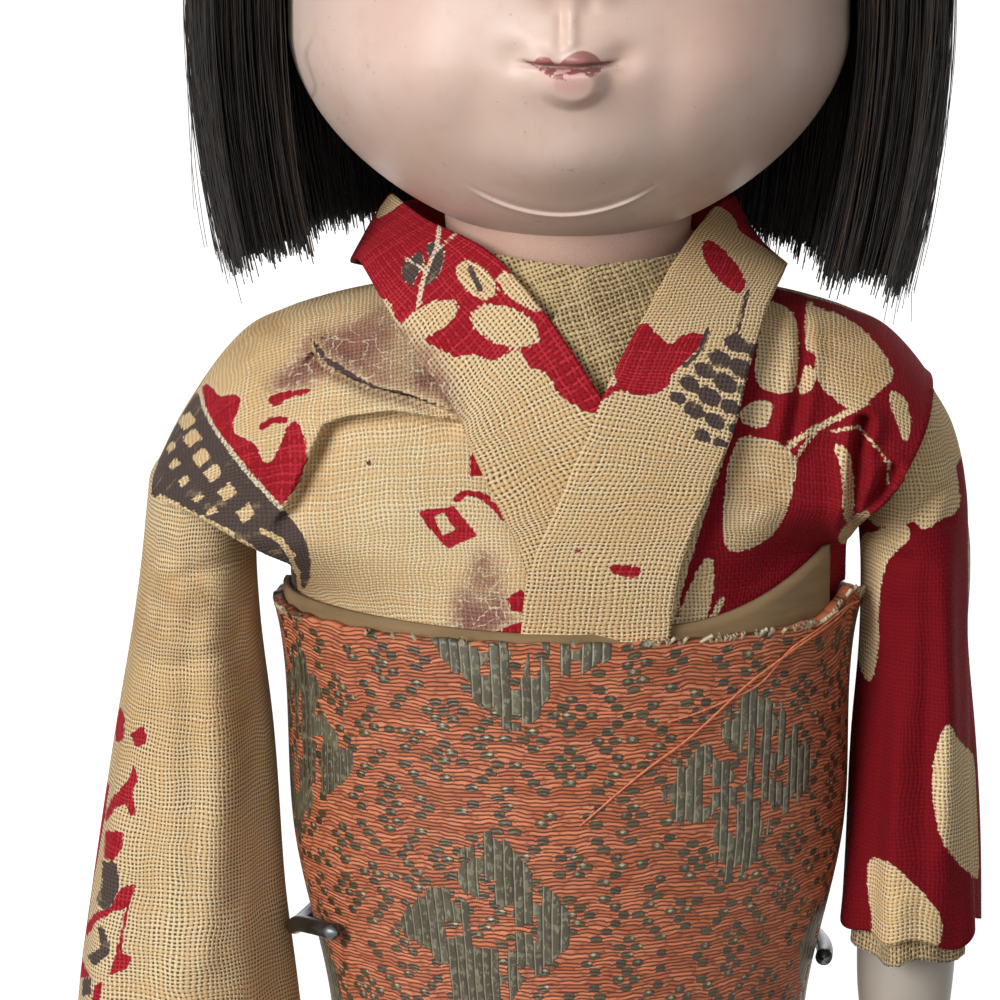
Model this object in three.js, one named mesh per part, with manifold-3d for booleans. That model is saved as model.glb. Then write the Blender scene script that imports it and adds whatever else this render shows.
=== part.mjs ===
// Ichimatsu doll, 400 mm tall, dressed in a kimono. Millimetres, +Z up, soles at z = 0, face towards -Y.
// Left and right are the viewer's, so the left arm is at -X.
import * as THREE from 'three';
import { mergeVertices } from 'three/addons/utils/BufferGeometryUtils.js';
import Module from 'manifold-3d';

const wasm = await Module();
wasm.setup();

// Clearance between pieces that touch, and how far a cutter reaches past what it cuts.
const GAP = 0.3;
const OVERCUT = 3;
const SIDES = 24;
const LIMB_SIDES = 16;

// Torso of pressed wood paste: half-widths and half-depths at named heights.
const HIP_TOP_Z = 176;
const HIP_HALF_WIDTH = 25;
const HIP_HALF_DEPTH = 19;
const BELLY_Z = 194;
const BELLY_HALF_WIDTH = 26;
const BELLY_HALF_DEPTH = 20.5;
const WAIST_Z = 215;
const WAIST_HALF_WIDTH = 24;
const WAIST_HALF_DEPTH = 20;
const RIBS_Z = 240;
const RIBS_HALF_WIDTH = 28.6;
const RIBS_HALF_DEPTH = 21;
const CHEST_Z = 264;
const CHEST_HALF_WIDTH = 30;
const CHEST_HALF_DEPTH = 21.5;
const SHOULDER_Z = 281;
const SHOULDER_HALF_WIDTH = 34;
const SHOULDER_HALF_DEPTH = 19.5;
const SHOULDER_TOP_Z = 296;
const SHOULDER_TOP_HALF_WIDTH = 31;
const SHOULDER_TOP_HALF_DEPTH = 18.5;
const NECK_BASE_Z = 303;
const COLLAR_ROOM_ACROSS = 6.5;
const COLLAR_ROOM_BEHIND = 1.8;
const TORSO_WALL = 4;
const TORSO_ROOF = 6;

// Hip block: a round-bottomed block that both thighs swing about.
const HIP_AXIS_Z = 158;
const HIP_RADIUS = 17;
const HIP_OVERHANG = 11;

// Legs: stuffed cloth thigh, paper band at the knee, shin and foot of pressed wood paste.
const LEG_SPACING = 29;
const THIGH_TOP_RADIUS = 13;
const THIGH_SWELL_RADIUS = 13.4;
const THIGH_SWELL_SHARE = 0.4;
const THIGH_LOW_RADIUS = 12.4;
const THIGH_LOW_SHARE = 0.7;
const KNEE_RADIUS = 10.5;
const KNEE_Z = 78;
const CALF_RADIUS = 10.2;
const CALF_Z = 58;
const ANKLE_RADIUS = 7;
const ANKLE_Z = 18;
const FOOT_HALF_WIDTH = 9.5;
const FOOT_LENGTH = 42;
const FOOT_HEIGHT = 13;
const FOOT_FORWARD = 6;
const BAND_HEIGHT = 8;
const BAND_THICKNESS = 0.9;
const BAND_LIFT = 0.3;

// Arms: stuffed cloth upper arm, paper band at the elbow, forearm and hand of pressed wood paste.
const ARM_X = 42.7;
const UPPER_ARM_RADIUS = 4.9;
const UPPER_ARM_HALF_DEPTH = 5.4;
const ARM_TOP_RISE = 4.9;
const ARM_TOP_RADIUS = 3;
const BICEPS_SHARE = 0.6;
const ELBOW_RADIUS = 4.4;
const STUB_RADIUS = 5.4;
const ELBOW_DROP = 36;
const WRIST_DROP = 62;
const WRIST_RADIUS = 4.4;
const PALM_DROP = 74;
const FINGER_DROP = 94;
const PALM_HALF_WIDTH = 5;
const PALM_HALF_DEPTH = 8;
const FINGER_HALF_WIDTH = 3;
const FINGER_HALF_DEPTH = 6.4;
const FINGERTIP_HALF_WIDTH = 2;
const FINGERTIP_HALF_DEPTH = 3.6;
const FINGERTIP_LENGTH = 4;
const LEFT_WRIST_OUT = 5;
const RIGHT_WRIST_OUT = -1.5;

// Head of pressed wood paste in two halves, glass eyes set from inside, plug neck.
// Levels on the face and in the hair, and the eye's radius, are shares of the rise from the cheeks to the
// top of the skull. The eyelids are shares of the eye's radius.
const CHIN_Z = 313.5;
const CHEEK_Z = 341;
const SKULL_TOP_Z = 394.5;
const CHEEK_HALF_WIDTH = 32.2;
const FACE_DEPTH = 33.5;
const SKULL_DEPTH = 34;
const SKULL_FULLNESS = 2.4;
const POLE_SHARE = 0.46;
const HEAD_WALL = 5;
const NOSE_LEVEL_SHARE = 0.09;
const NOSE_RADIUS = 3.2;
const EYE_RADIUS_SHARE = 0.12;
const EYE_SPACING = 27;
const EYE_LEVEL_SHARE = 0.3;
const EYE_RECESS = 1;
const EYELID_WIDTH_SHARE = 0.94;
const EYELID_HEIGHT_SHARE = 0.4;
const NECK_RADIUS = 14.8;
const NECK_Y = 2;
const NECK_ENTRY = 12.5;
const PLUG_RADIUS = 11.5;
const PLUG_CHAMFER = 2;
const PLUG_LENGTH = 18;
const NECK_RING_THICKNESS = 1.8;

// Hair: a thick blunt bob with a straight fringe.
const HAIR_BOTTOM_Z = 307.5;
const HAIR_HALF_WIDTH = 44.2;
const HAIR_BOTTOM_HALF_WIDTH = 40;
const HAIR_FRONT = 38;
const HAIR_BACK = 43;
const HAIR_THICKNESS_ON_TOP = 5.5;
const HAIR_FULLNESS = 2.5;
const CROWN_POLE_SHARE = 0.47;
const FRINGE_BOTTOM_SHARE = 0.41;
const FRINGE_TOP_SHARE = 0.73;
const FRINGE_BACK_Y = -14;
const CURTAIN_FRONT_Y = -12;
const CROWN_BOTTOM_SHARE = 0.47;
const HAIR_WELL_HALF_WIDTH = 27;
const HAIR_WELL_DEPTH = 31;
const HAIR_WELL_HEIGHT = 22.5;

// Clothes: cloth thickness of each layer, and the heights where it ends.
const CLOTH = 1;
const BOARD = 0.8;
const OBI_CLOTH = 1.4;
const COLLAR_CLOTH = 1.4;
const UNDER_CLOTH = 0.6;
const OBI_TOP_Z = 267.5;
const OBI_HEIGHT = 56;
const OBI_BOARD_RISE = 1.2;
const OBI_BOARD_INSET = 10.5;
const OBI_BOARD_BACK_Y = 4;
const WAIST_TIE_HEIGHT = 4;
const WAIST_TIE_INSET = 5.5;
const SKIRT_TUCK = 2;
const NECK_CROSSING_X = 4.4;
const NECK_CROSSING_Z = 296.5;
const COLLAR_WIDTH = 11;
const COLLAR_FOOT_WIDTH = 20;
const COLLAR_FOOT_X = -5.5;
const UNDER_COLLAR_TOP_Z = 309;
const UNDER_COLLAR_SPLIT_X = 0.8;
const BACK_COLLAR_TOP_Z = 314;

// Skirt: the wrapped lower half of the kimono, with shallow folds that deepen to the hem.
const HEM_Z = 20;
const HEM_TAPER = 1;
const SEAT_Z = 166;
const SEAT_EASE_ACROSS = 2.3;
const SEAT_EASE_DEEP = 11;
const SKIRT_FOLDS = 6;
const SKIRT_FOLD_DEPTH = 1.3;
const SKIRT_SIDES = 48;

// Sleeves: tubes of kimono cloth that narrow at the shoulder, with shallow folds.
const SLEEVE_INNER_X = 36.3;
const SLEEVE_OUTER_X = 49.5;
const SLEEVE_CAP_RADIUS = 11.8;
const SLEEVE_CAP_EDGE = 2;
const SLEEVE_CAP_SLOPE = 0.5;
const SLEEVE_CAP_CROWN_SHARE = 0.7;
const SLEEVE_CAP_CROWN_OUT_SHARE = 0.85;
const SLEEVE_CUFF_HALF_DEPTH = 15;
const SLEEVE_ELBOW_SHARE = 0.6;
const SLEEVE_ELBOW_WIDTH_SHARE = 0.7;
const SLEEVE_ELBOW_DEPTH_SHARE = 0.9;
const LEFT_CUFF_DROP = 69;
const LEFT_CUFF_WIDTH = 23;
const RIGHT_CUFF_DROP = 53;
const RIGHT_CUFF_WIDTH = 15.6;
const SLEEVE_FOLDS = 5;
const SLEEVE_FOLD_DEPTH = 0.6;
const UNDER_SLEEVE_SHOWS = 2.5;
const UNDER_SLEEVE_LENGTH = 10;
const UNDER_SLEEVE_TAPER = 0.03;

// Obi bow at the back: a knot, two loops and two tails.
const KNOT_WIDTH = 15;
const KNOT_DEPTH = 9;
const KNOT_HEIGHT = 20;
const KNOT_CORNER = 3;
const KNOT_Z = 252;
const LOOP_LENGTH = 25;
const LOOP_DEPTH = 11;
const LOOP_HEIGHT = 24;
const LOOP_WALL = 2.2;
const TAIL_WIDTH = 17;
const TAIL_LENGTH = 40;
const TAIL_THICKNESS = 2;
const TAIL_SPREAD_DEG = 9;

// Spring-steel waist clip gripping the obi.
const CLIP_WIRE_RADIUS = 1;
const CLIP_INSET = 15.3;
const CLIP_END_RISE = 2.8;
const CLIP_RIGHT_END_DEG = -14;
const CLIP_LEFT_END_DEG = 211;
const CLIP_STEPS = 36;

// Belly squeaker: two boards, a paper bellows, a coil spring and a reed.
const SQUEAKER_Z = 197;
const SQUEAKER_WIDTH = 24;
const SQUEAKER_HEIGHT = 22;
const SQUEAKER_BOARD = 2;
const SQUEAKER_FRONT_Y = -17;
const SQUEAKER_BACK_Y = 4;
const BELLOWS_INSET = 1;
const BELLOWS_WALL = 0.8;
const SPRING_RADIUS = 6;
const SPRING_WIRE_RADIUS = 0.5;
const SPRING_TURNS = 4;
const REED_RADIUS = 4;
const REED_LENGTH = 8;
const AIR_HOLE_RADIUS = 2;

function material(color, roughness, metalness = 0) {
  return new THREE.MeshStandardMaterial({ color, roughness, metalness });
}

const shellWhite = material(0xd9c0b2, 0.45);
const bareWood = material(0xa98a64, 0.8);
const hairBlack = material(0x15110f, 0.4);
const eyeGlass = material(0x1a1210, 0.08);
const innerCloth = material(0xd8cdb8, 0.9);
const gauze = material(0xb7a48d, 0.95);
const kimonoCloth = material(0xa8434a, 0.9);
const obiBrocade = material(0xc4744e, 0.7);
const cardboard = material(0xb08e63, 0.85);
const springSteel = material(0x6f7276, 0.3, 1);
const washiPaper = material(0xe6dcc4, 0.9);
const oldLeather = material(0x6b4a33, 0.8);

// A closed geometry as a solid that can be joined and cut, and a solid as a geometry again.
function solid(geometry) {
  const bare = geometry.clone();
  bare.deleteAttribute('normal');
  bare.deleteAttribute('uv');
  const merged = mergeVertices(bare, 1e-4);
  const vertProperties = new Float32Array(merged.attributes.position.array);
  const triVerts = new Uint32Array(merged.index.array);
  return new wasm.Manifold(new wasm.Mesh({ numProp: 3, vertProperties, triVerts }));
}

function mesh(name, shape, look) {
  let geometry = shape;
  if (!shape.isBufferGeometry) {
    const { vertProperties, triVerts } = shape.getMesh();
    geometry = new THREE.BufferGeometry();
    geometry.setAttribute('position', new THREE.BufferAttribute(vertProperties, 3));
    geometry.setIndex(new THREE.BufferAttribute(triVerts, 1));
    geometry.computeVertexNormals();
  }
  const made = new THREE.Mesh(geometry, look);
  made.name = name;
  return made;
}

// An oval ring at one height, its points counter-clockwise seen from above.
function oval({ x = 0, y = 0, z, halfWidth, front, back = front, ripple = () => 0 }, sides = SIDES) {
  return Array.from({ length: sides }, (_, i) => {
    const angle = (2 * Math.PI * i) / sides;
    const depth = Math.sin(angle) < 0 ? front : back;
    const out = ripple(angle);
    const across = x + (halfWidth + out) * Math.cos(angle);
    return new THREE.Vector3(across, y + (depth + out) * Math.sin(angle), z);
  });
}

// Rings, lowest first, skinned into one closed surface with a cap at each end.
function skin(rings) {
  const sides = rings[0].length;
  const points = rings.flat();
  const faces = [];
  for (let ring = 0; ring < rings.length - 1; ring++) {
    for (let side = 0; side < sides; side++) {
      const here = ring * sides + side;
      const next = ring * sides + ((side + 1) % sides);
      faces.push(here, next, next + sides, here, next + sides, here + sides);
    }
  }
  const middle = (ring) => ring.reduce((sum, p) => sum.add(p), new THREE.Vector3()).divideScalar(sides);
  const bottom = points.push(middle(rings[0])) - 1;
  const top = points.push(middle(rings.at(-1))) - 1;
  const lastRing = (rings.length - 1) * sides;
  for (let side = 0; side < sides; side++) {
    const next = (side + 1) % sides;
    faces.push(bottom, next, side, top, lastRing + side, lastRing + next);
  }
  return new THREE.BufferGeometry().setFromPoints(points).setIndex(faces);
}

// A box given by its lowest and highest corner.
function block(low, high) {
  const size = high.map((value, axis) => value - low[axis]);
  const middle = high.map((value, axis) => (value + low[axis]) / 2);
  return solid(new THREE.BoxGeometry(...size).translate(...middle));
}

const FAR = 200;
const infront = (y) => block([-FAR, -FAR, -FAR], [FAR, y, 3 * FAR]);
const behind = (y) => block([-FAR, y, -FAR], [FAR, FAR, 3 * FAR]);
const above = (z) => block([-FAR, -FAR, z], [FAR, FAR, 3 * FAR]);
const below = (z) => block([-FAR, -FAR, -FAR], [FAR, FAR, z]);

// A round bar along X, and a round bar along Z.
function barAlongX(radius, fromX, toX, y, z, sides = SIDES) {
  const bar = new THREE.CylinderGeometry(radius, radius, toX - fromX, sides);
  return bar.rotateZ(Math.PI / 2).translate((fromX + toX) / 2, y, z);
}

function barAlongZ(radius, fromZ, toZ, y, sides = SIDES) {
  const bar = new THREE.CylinderGeometry(radius, radius, toZ - fromZ, sides);
  return bar.rotateX(Math.PI / 2).translate(0, y, (fromZ + toZ) / 2);
}

// A turned piece about the upright axis, from a profile of [radius, height] that starts and ends on one line.
function turned(profile, y, sides = SIDES) {
  const lathe = new THREE.LatheGeometry(profile.map(([r, z]) => new THREE.Vector2(r, z)), sides);
  return lathe.rotateX(Math.PI / 2).translate(0, y, 0);
}

const turnedRing = (inner, outer, fromZ, toZ, y, sides = SIDES) =>
  turned([[inner, fromZ], [outer, fromZ], [outer, toZ], [inner, toZ], [inner, fromZ]], y, sides);

// The torso's cross-section at any height. Every layer of clothing is this section grown by an outset.
const neckBaseHalfWidth = NECK_RADIUS + COLLAR_ROOM_ACROSS;
const neckBaseHalfDepth = NECK_RADIUS + NECK_Y + COLLAR_ROOM_BEHIND;
const torsoStations = [
  [HIP_TOP_Z, HIP_HALF_WIDTH, HIP_HALF_DEPTH],
  [BELLY_Z, BELLY_HALF_WIDTH, BELLY_HALF_DEPTH],
  [WAIST_Z, WAIST_HALF_WIDTH, WAIST_HALF_DEPTH],
  [RIBS_Z, RIBS_HALF_WIDTH, RIBS_HALF_DEPTH],
  [CHEST_Z, CHEST_HALF_WIDTH, CHEST_HALF_DEPTH],
  [SHOULDER_Z, SHOULDER_HALF_WIDTH, SHOULDER_HALF_DEPTH],
  [SHOULDER_TOP_Z, SHOULDER_TOP_HALF_WIDTH, SHOULDER_TOP_HALF_DEPTH],
  [NECK_BASE_Z, neckBaseHalfWidth, neckBaseHalfDepth],
];
const stationHeights = torsoStations.map(([z]) => z);
const stationSections = torsoStations.flatMap(([, width, depth]) => [width, depth]);
const smoothTorso = new THREE.CubicInterpolant(stationHeights, stationSections, 2);
const torsoLevels = stationHeights.flatMap((z, i) => (i ? [(stationHeights[i - 1] + z) / 2, z] : [z]));
const levelSections = torsoLevels.flatMap((z) => [...smoothTorso.evaluate(z)]);
const torsoShape = new THREE.LinearInterpolant(torsoLevels, levelSections, 2);

function torsoAt(z, outset) {
  const [halfWidth, halfDepth] = torsoShape.evaluate(z);
  return { z, halfWidth: halfWidth + outset, front: halfDepth + outset };
}

function torsoSolid(outset, bottomZ, topZ) {
  const levels = [bottomZ, ...torsoLevels.filter((z) => z > bottomZ && z < topZ), topZ];
  return solid(skin(levels.map((z) => oval(torsoAt(z, outset)))));
}

function torsoLayer(outset, thickness, bottomZ, topZ) {
  const hollow = torsoSolid(outset, bottomZ - OVERCUT, topZ + OVERCUT);
  return torsoSolid(outset + thickness, bottomZ, topZ).subtract(hollow);
}

// A flat outline in X and Z, drawn as a prism through the part from front to back.
function prism(outline, fromY, toY) {
  const shape = new THREE.Shape(outline.map(([x, z]) => new THREE.Vector2(x, z)));
  const drawn = new THREE.ExtrudeGeometry(shape, { depth: toY - fromY, bevelEnabled: false });
  return solid(drawn.rotateX(Math.PI / 2).translate(0, toY, 0));
}

// Outsets of the clothing layers, from the torso outwards.
const bodiceOutset = GAP;
const boardOutset = bodiceOutset + CLOTH + GAP;
const obiOutset = boardOutset + BOARD + GAP;
const obiFace = obiOutset + OBI_CLOTH;
const collarOutset = bodiceOutset + CLOTH + GAP;
const obiBottomZ = OBI_TOP_Z - OBI_HEIGHT;
const skirtTopZ = obiBottomZ + SKIRT_TUCK;

// The hip block reaches past the middle of both legs, and the skirt is cut to go round them.
const hipLength = LEG_SPACING + HIP_OVERHANG;
const seatHalfWidth = LEG_SPACING / 2 + THIGH_SWELL_RADIUS + SEAT_EASE_ACROSS;
const seatHalfDepth = HIP_RADIUS + SEAT_EASE_DEEP;
const hemHalfWidth = seatHalfWidth - HEM_TAPER;
const hemHalfDepth = seatHalfDepth - HEM_TAPER;

// Levels tied to the skull and the chin.
const levelOnHead = (share) => CHEEK_Z + share * (SKULL_TOP_Z - CHEEK_Z);
const eyeZ = levelOnHead(EYE_LEVEL_SHARE);
const eyeRadius = EYE_RADIUS_SHARE * (SKULL_TOP_Z - CHEEK_Z);
const noseZ = levelOnHead(NOSE_LEVEL_SHARE);
const fringeBottomZ = levelOnHead(FRINGE_BOTTOM_SHARE);
const fringeTopZ = levelOnHead(FRINGE_TOP_SHARE);
const crownBottomZ = levelOnHead(CROWN_BOTTOM_SHARE);
const neckTopZ = CHIN_Z + NECK_ENTRY;

// Head: two hollow halves, split through the ears, with eye sockets and a hole for the neck.
function headForm(outset) {
  const rings = [];
  const steps = 12;
  for (let step = 0; step <= steps; step++) {
    const lift = Math.PI * POLE_SHARE * ((2 * step) / steps - 1);
    const power = lift < 0 ? 1 : 2 / SKULL_FULLNESS;
    const rise = (lift < 0 ? CHEEK_Z - CHIN_Z : SKULL_TOP_Z - CHEEK_Z) + outset;
    const spread = Math.cos(lift) ** power;
    const z = CHEEK_Z + Math.sign(lift) * rise * Math.abs(Math.sin(lift)) ** power;
    const halfWidth = (CHEEK_HALF_WIDTH + outset) * spread;
    const front = (FACE_DEPTH + outset) * spread;
    const back = (SKULL_DEPTH + outset) * spread;
    rings.push(oval({ z, halfWidth, front, back }));
  }
  return solid(skin(rings));
}

// Depth of the face's front surface at a place, for setting the eyes and the nose.
function faceFrontY(x, z) {
  const rise = z < CHEEK_Z ? CHEEK_Z - CHIN_Z : SKULL_TOP_Z - CHEEK_Z;
  const power = z < CHEEK_Z ? 2 : SKULL_FULLNESS;
  const spread = (1 - (Math.abs(z - CHEEK_Z) / rise) ** power) ** (1 / power);
  return -FACE_DEPTH * spread * Math.sqrt(1 - (x / (CHEEK_HALF_WIDTH * spread)) ** 2);
}

function buildHead() {
  const group = new THREE.Group();
  const neckHole = solid(barAlongZ(NECK_RADIUS + GAP, NECK_BASE_Z, neckTopZ + GAP, NECK_Y));
  const nose = new THREE.SphereGeometry(NOSE_RADIUS, 12, 8).translate(0, faceFrontY(0, noseZ), noseZ);
  const hollow = headForm(-HEAD_WALL);
  let face = headForm(0).add(solid(nose)).subtract(hollow).subtract(neckHole).subtract(behind(-GAP / 2));
  const back = headForm(0).subtract(hollow).subtract(neckHole).subtract(infront(GAP / 2));
  const eyes = [];
  for (const [side, name] of [[-1, 'eye_left'], [1, 'eye_right']]) {
    const x = (side * EYE_SPACING) / 2;
    const y = faceFrontY(x, eyeZ) + EYE_RECESS + eyeRadius;
    const reach = eyeRadius + GAP;
    const socket = new THREE.SphereGeometry(reach, 14, 10).translate(x, y, eyeZ);
    const lids = new THREE.SphereGeometry(1, 14, 8);
    lids.scale(EYELID_WIDTH_SHARE * eyeRadius, 2 * eyeRadius, EYELID_HEIGHT_SHARE * eyeRadius);
    lids.translate(x, y - eyeRadius, eyeZ);
    const way = block([x - reach, y, eyeZ - reach], [x + reach, 0, eyeZ + reach]).intersect(headForm(-GAP));
    face = face.subtract(solid(socket)).subtract(solid(lids)).subtract(way);
    const ball = new THREE.SphereGeometry(eyeRadius, 14, 10).translate(x, y, eyeZ);
    eyes.push(mesh(name, ball, eyeGlass));
  }
  group.add(mesh('head_front', face, shellWhite), mesh('head_back', back, shellWhite), ...eyes);
  const plugBottomZ = NECK_BASE_Z - PLUG_LENGTH;
  const neckProfile = [
    [0, plugBottomZ],
    [PLUG_RADIUS - PLUG_CHAMFER, plugBottomZ],
    [PLUG_RADIUS, plugBottomZ + PLUG_CHAMFER],
    [PLUG_RADIUS, NECK_BASE_Z + GAP],
    [NECK_RADIUS, NECK_BASE_Z + GAP],
    [NECK_RADIUS, neckTopZ],
    [0, neckTopZ],
  ];
  group.add(mesh('neck', turned(neckProfile, NECK_Y), shellWhite));
  return group;
}

// Hair: the outer form of the bob, cut into crown, fringe and curtain round the head.
function hairForm() {
  const crownZ = SKULL_TOP_Z + HAIR_THICKNESS_ON_TOP;
  const rings = [];
  const lowSteps = 3;
  for (let step = 0; step < lowSteps; step++) {
    const down = 1 - step / lowSteps;
    const z = CHEEK_Z - down * (CHEEK_Z - HAIR_BOTTOM_Z);
    const spread = 1 - (1 - HAIR_BOTTOM_HALF_WIDTH / HAIR_HALF_WIDTH) * down ** 2;
    rings.push({ z, spread });
  }
  const highSteps = 9;
  for (let step = 0; step <= highSteps; step++) {
    const lift = (CROWN_POLE_SHARE * Math.PI * step) / highSteps;
    const power = 2 / HAIR_FULLNESS;
    const z = CHEEK_Z + (crownZ - CHEEK_Z) * Math.sin(lift) ** power;
    rings.push({ z, spread: Math.cos(lift) ** power });
  }
  const ring = ({ z, spread }) =>
    oval({ z, halfWidth: HAIR_HALF_WIDTH * spread, front: HAIR_FRONT * spread, back: HAIR_BACK * spread });
  return solid(skin(rings.map(ring)));
}

function buildHair() {
  const group = new THREE.Group();
  const form = hairForm();
  const inside = headForm(GAP);
  const wellOval = { halfWidth: HAIR_WELL_HALF_WIDTH, front: FAR, back: HAIR_WELL_DEPTH };
  const wellLevels = [HAIR_BOTTOM_Z - OVERCUT, HAIR_BOTTOM_Z + HAIR_WELL_HEIGHT];
  const well = solid(skin(wellLevels.map((z) => oval({ ...wellOval, z }))));
  const fringeSpan = infront(FRINGE_BACK_Y).intersect(above(fringeBottomZ)).intersect(below(fringeTopZ));
  const fringeRoom = infront(FRINGE_BACK_Y + GAP).intersect(below(fringeTopZ + GAP));
  const crown = form.intersect(above(crownBottomZ)).subtract(inside).subtract(fringeRoom);
  const fringe = form.intersect(fringeSpan).subtract(inside);
  const sides = form.intersect(below(crownBottomZ - GAP)).intersect(behind(CURTAIN_FRONT_Y));
  const curtain = sides.subtract(inside).subtract(well);
  group.add(mesh('hair_crown', crown, hairBlack));
  group.add(mesh('hair_fringe', fringe, hairBlack));
  group.add(mesh('hair_curtain', curtain, hairBlack));
  return group;
}

// Torso: two hollow halves on a hip block, with the neck ring at the top and the squeaker in the belly.
function buildTorso() {
  const group = new THREE.Group();
  const ringOuter = PLUG_RADIUS + GAP + NECK_RING_THICKNESS;
  const neckHoleZ = [NECK_BASE_Z - 3 * TORSO_ROOF, NECK_BASE_Z + OVERCUT];
  const neckHole = solid(barAlongZ(ringOuter + GAP, ...neckHoleZ, NECK_Y));
  const hollow = torsoSolid(-TORSO_WALL, HIP_TOP_Z - OVERCUT, NECK_BASE_Z - TORSO_ROOF);
  const shell = torsoSolid(0, HIP_TOP_Z, NECK_BASE_Z).subtract(hollow).subtract(neckHole);
  const halfWidth = SQUEAKER_WIDTH / 2;
  const halfHeight = SQUEAKER_HEIGHT / 2;
  const windowLow = [-halfWidth - GAP, -FAR, SQUEAKER_Z - halfHeight - GAP];
  const windowHigh = [halfWidth + GAP, SQUEAKER_BACK_Y, SQUEAKER_Z + halfHeight + GAP];
  const front = shell.subtract(behind(-GAP / 2)).subtract(block(windowLow, windowHigh));
  group.add(mesh('chest_front', front, bareWood));
  group.add(mesh('chest_back', shell.subtract(infront(GAP / 2)), bareWood));
  const ring = turnedRing(PLUG_RADIUS + GAP, ringOuter, NECK_BASE_Z - TORSO_ROOF, NECK_BASE_Z, NECK_Y);
  group.add(mesh('neck_ring', ring, oldLeather));

  const hipSections = [
    { z: HIP_AXIS_Z, halfWidth: hipLength / 2, front: HIP_RADIUS },
    { z: HIP_TOP_Z - GAP, halfWidth: HIP_HALF_WIDTH, front: HIP_HALF_DEPTH },
  ];
  const hipTop = solid(skin(hipSections.map((section) => oval(section))));
  const hipRound = solid(barAlongX(HIP_RADIUS, -hipLength / 2, hipLength / 2, 0, HIP_AXIS_Z));
  group.add(mesh('hip_block', hipTop.add(hipRound), bareWood));

  const frontLow = [-halfWidth, SQUEAKER_FRONT_Y, SQUEAKER_Z - halfHeight];
  const frontHigh = [halfWidth, SQUEAKER_FRONT_Y + SQUEAKER_BOARD, SQUEAKER_Z + halfHeight];
  group.add(mesh('squeaker_front_board', block(frontLow, frontHigh), bareWood));
  const backLow = [-FAR, SQUEAKER_BACK_Y, SQUEAKER_Z - halfHeight];
  const backHigh = [FAR, SQUEAKER_BACK_Y + SQUEAKER_BOARD, SQUEAKER_Z + halfHeight];
  const lining = torsoSolid(-TORSO_WALL - GAP, HIP_TOP_Z, SHOULDER_Z);
  const airHole = new THREE.CylinderGeometry(AIR_HOLE_RADIUS, AIR_HOLE_RADIUS, FAR, LIMB_SIDES);
  const airWay = solid(airHole.translate(0, 0, SQUEAKER_Z));
  const backBoard = block(backLow, backHigh).intersect(lining).subtract(airWay);
  group.add(mesh('squeaker_back_board', backBoard, bareWood));

  const bellowsFront = SQUEAKER_FRONT_Y + SQUEAKER_BOARD + GAP;
  const bellowsBack = SQUEAKER_BACK_Y - GAP;
  const outerX = halfWidth - BELLOWS_INSET;
  const outerZ = halfHeight - BELLOWS_INSET;
  const innerX = outerX - BELLOWS_WALL;
  const innerZ = outerZ - BELLOWS_WALL;
  const bag = block([-outerX, bellowsFront, SQUEAKER_Z - outerZ], [outerX, bellowsBack, SQUEAKER_Z + outerZ]);
  const bagHollow = block([-innerX, -FAR, SQUEAKER_Z - innerZ], [innerX, FAR, SQUEAKER_Z + innerZ]);
  group.add(mesh('squeaker_bellows', bag.subtract(bagHollow), washiPaper));
  group.add(mesh('squeaker_spring', springCoil(bellowsFront, bellowsBack), springSteel));
  const reedTube = turnedRing(AIR_HOLE_RADIUS, REED_RADIUS, 0, REED_LENGTH, 0, LIMB_SIDES);
  const reedY = SQUEAKER_BACK_Y + SQUEAKER_BOARD + GAP;
  const reed = reedTube.rotateX(-Math.PI / 2).translate(0, reedY, SQUEAKER_Z);
  group.add(mesh('squeaker_reed', reed, bareWood));
  return group;
}

// A coil spring lying along Y, as one unbroken tube. Its least gap to itself is measured on its points.
function springCoil(fromY, toY) {
  const stepsPerTurn = 8;
  const sides = 5;
  const steps = SPRING_TURNS * stepsPerTurn;
  const startY = fromY + SPRING_WIRE_RADIUS;
  const rise = (toY - fromY - 2 * SPRING_WIRE_RADIUS) / steps;
  const centre = (step) => {
    const angle = (2 * Math.PI * step) / stepsPerTurn;
    const x = SPRING_RADIUS * Math.cos(angle);
    return new THREE.Vector3(x, startY + rise * step, SQUEAKER_Z + SPRING_RADIUS * Math.sin(angle));
  };
  const ring = (step) => {
    const angle = (2 * Math.PI * step) / stepsPerTurn;
    const outward = new THREE.Vector3(Math.cos(angle), 0, Math.sin(angle));
    return Array.from({ length: sides }, (_, i) => {
      const turn = (2 * Math.PI * i) / sides;
      const point = centre(step).addScaledVector(outward, SPRING_WIRE_RADIUS * Math.cos(turn));
      point.y += SPRING_WIRE_RADIUS * Math.sin(turn);
      return point;
    });
  };
  const rings = Array.from({ length: steps + 1 }, (_, step) => ring(step));
  let least = Infinity;
  for (let a = 0; a <= steps; a++) {
    for (let b = a + stepsPerTurn / 2; b <= steps; b++) {
      least = Math.min(least, centre(a).distanceTo(centre(b)));
    }
  }
  console.log(`squeaker_spring: least gap to itself ${(least - 2 * SPRING_WIRE_RADIUS).toFixed(2)} mm`);
  return skin(rings);
}

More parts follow.
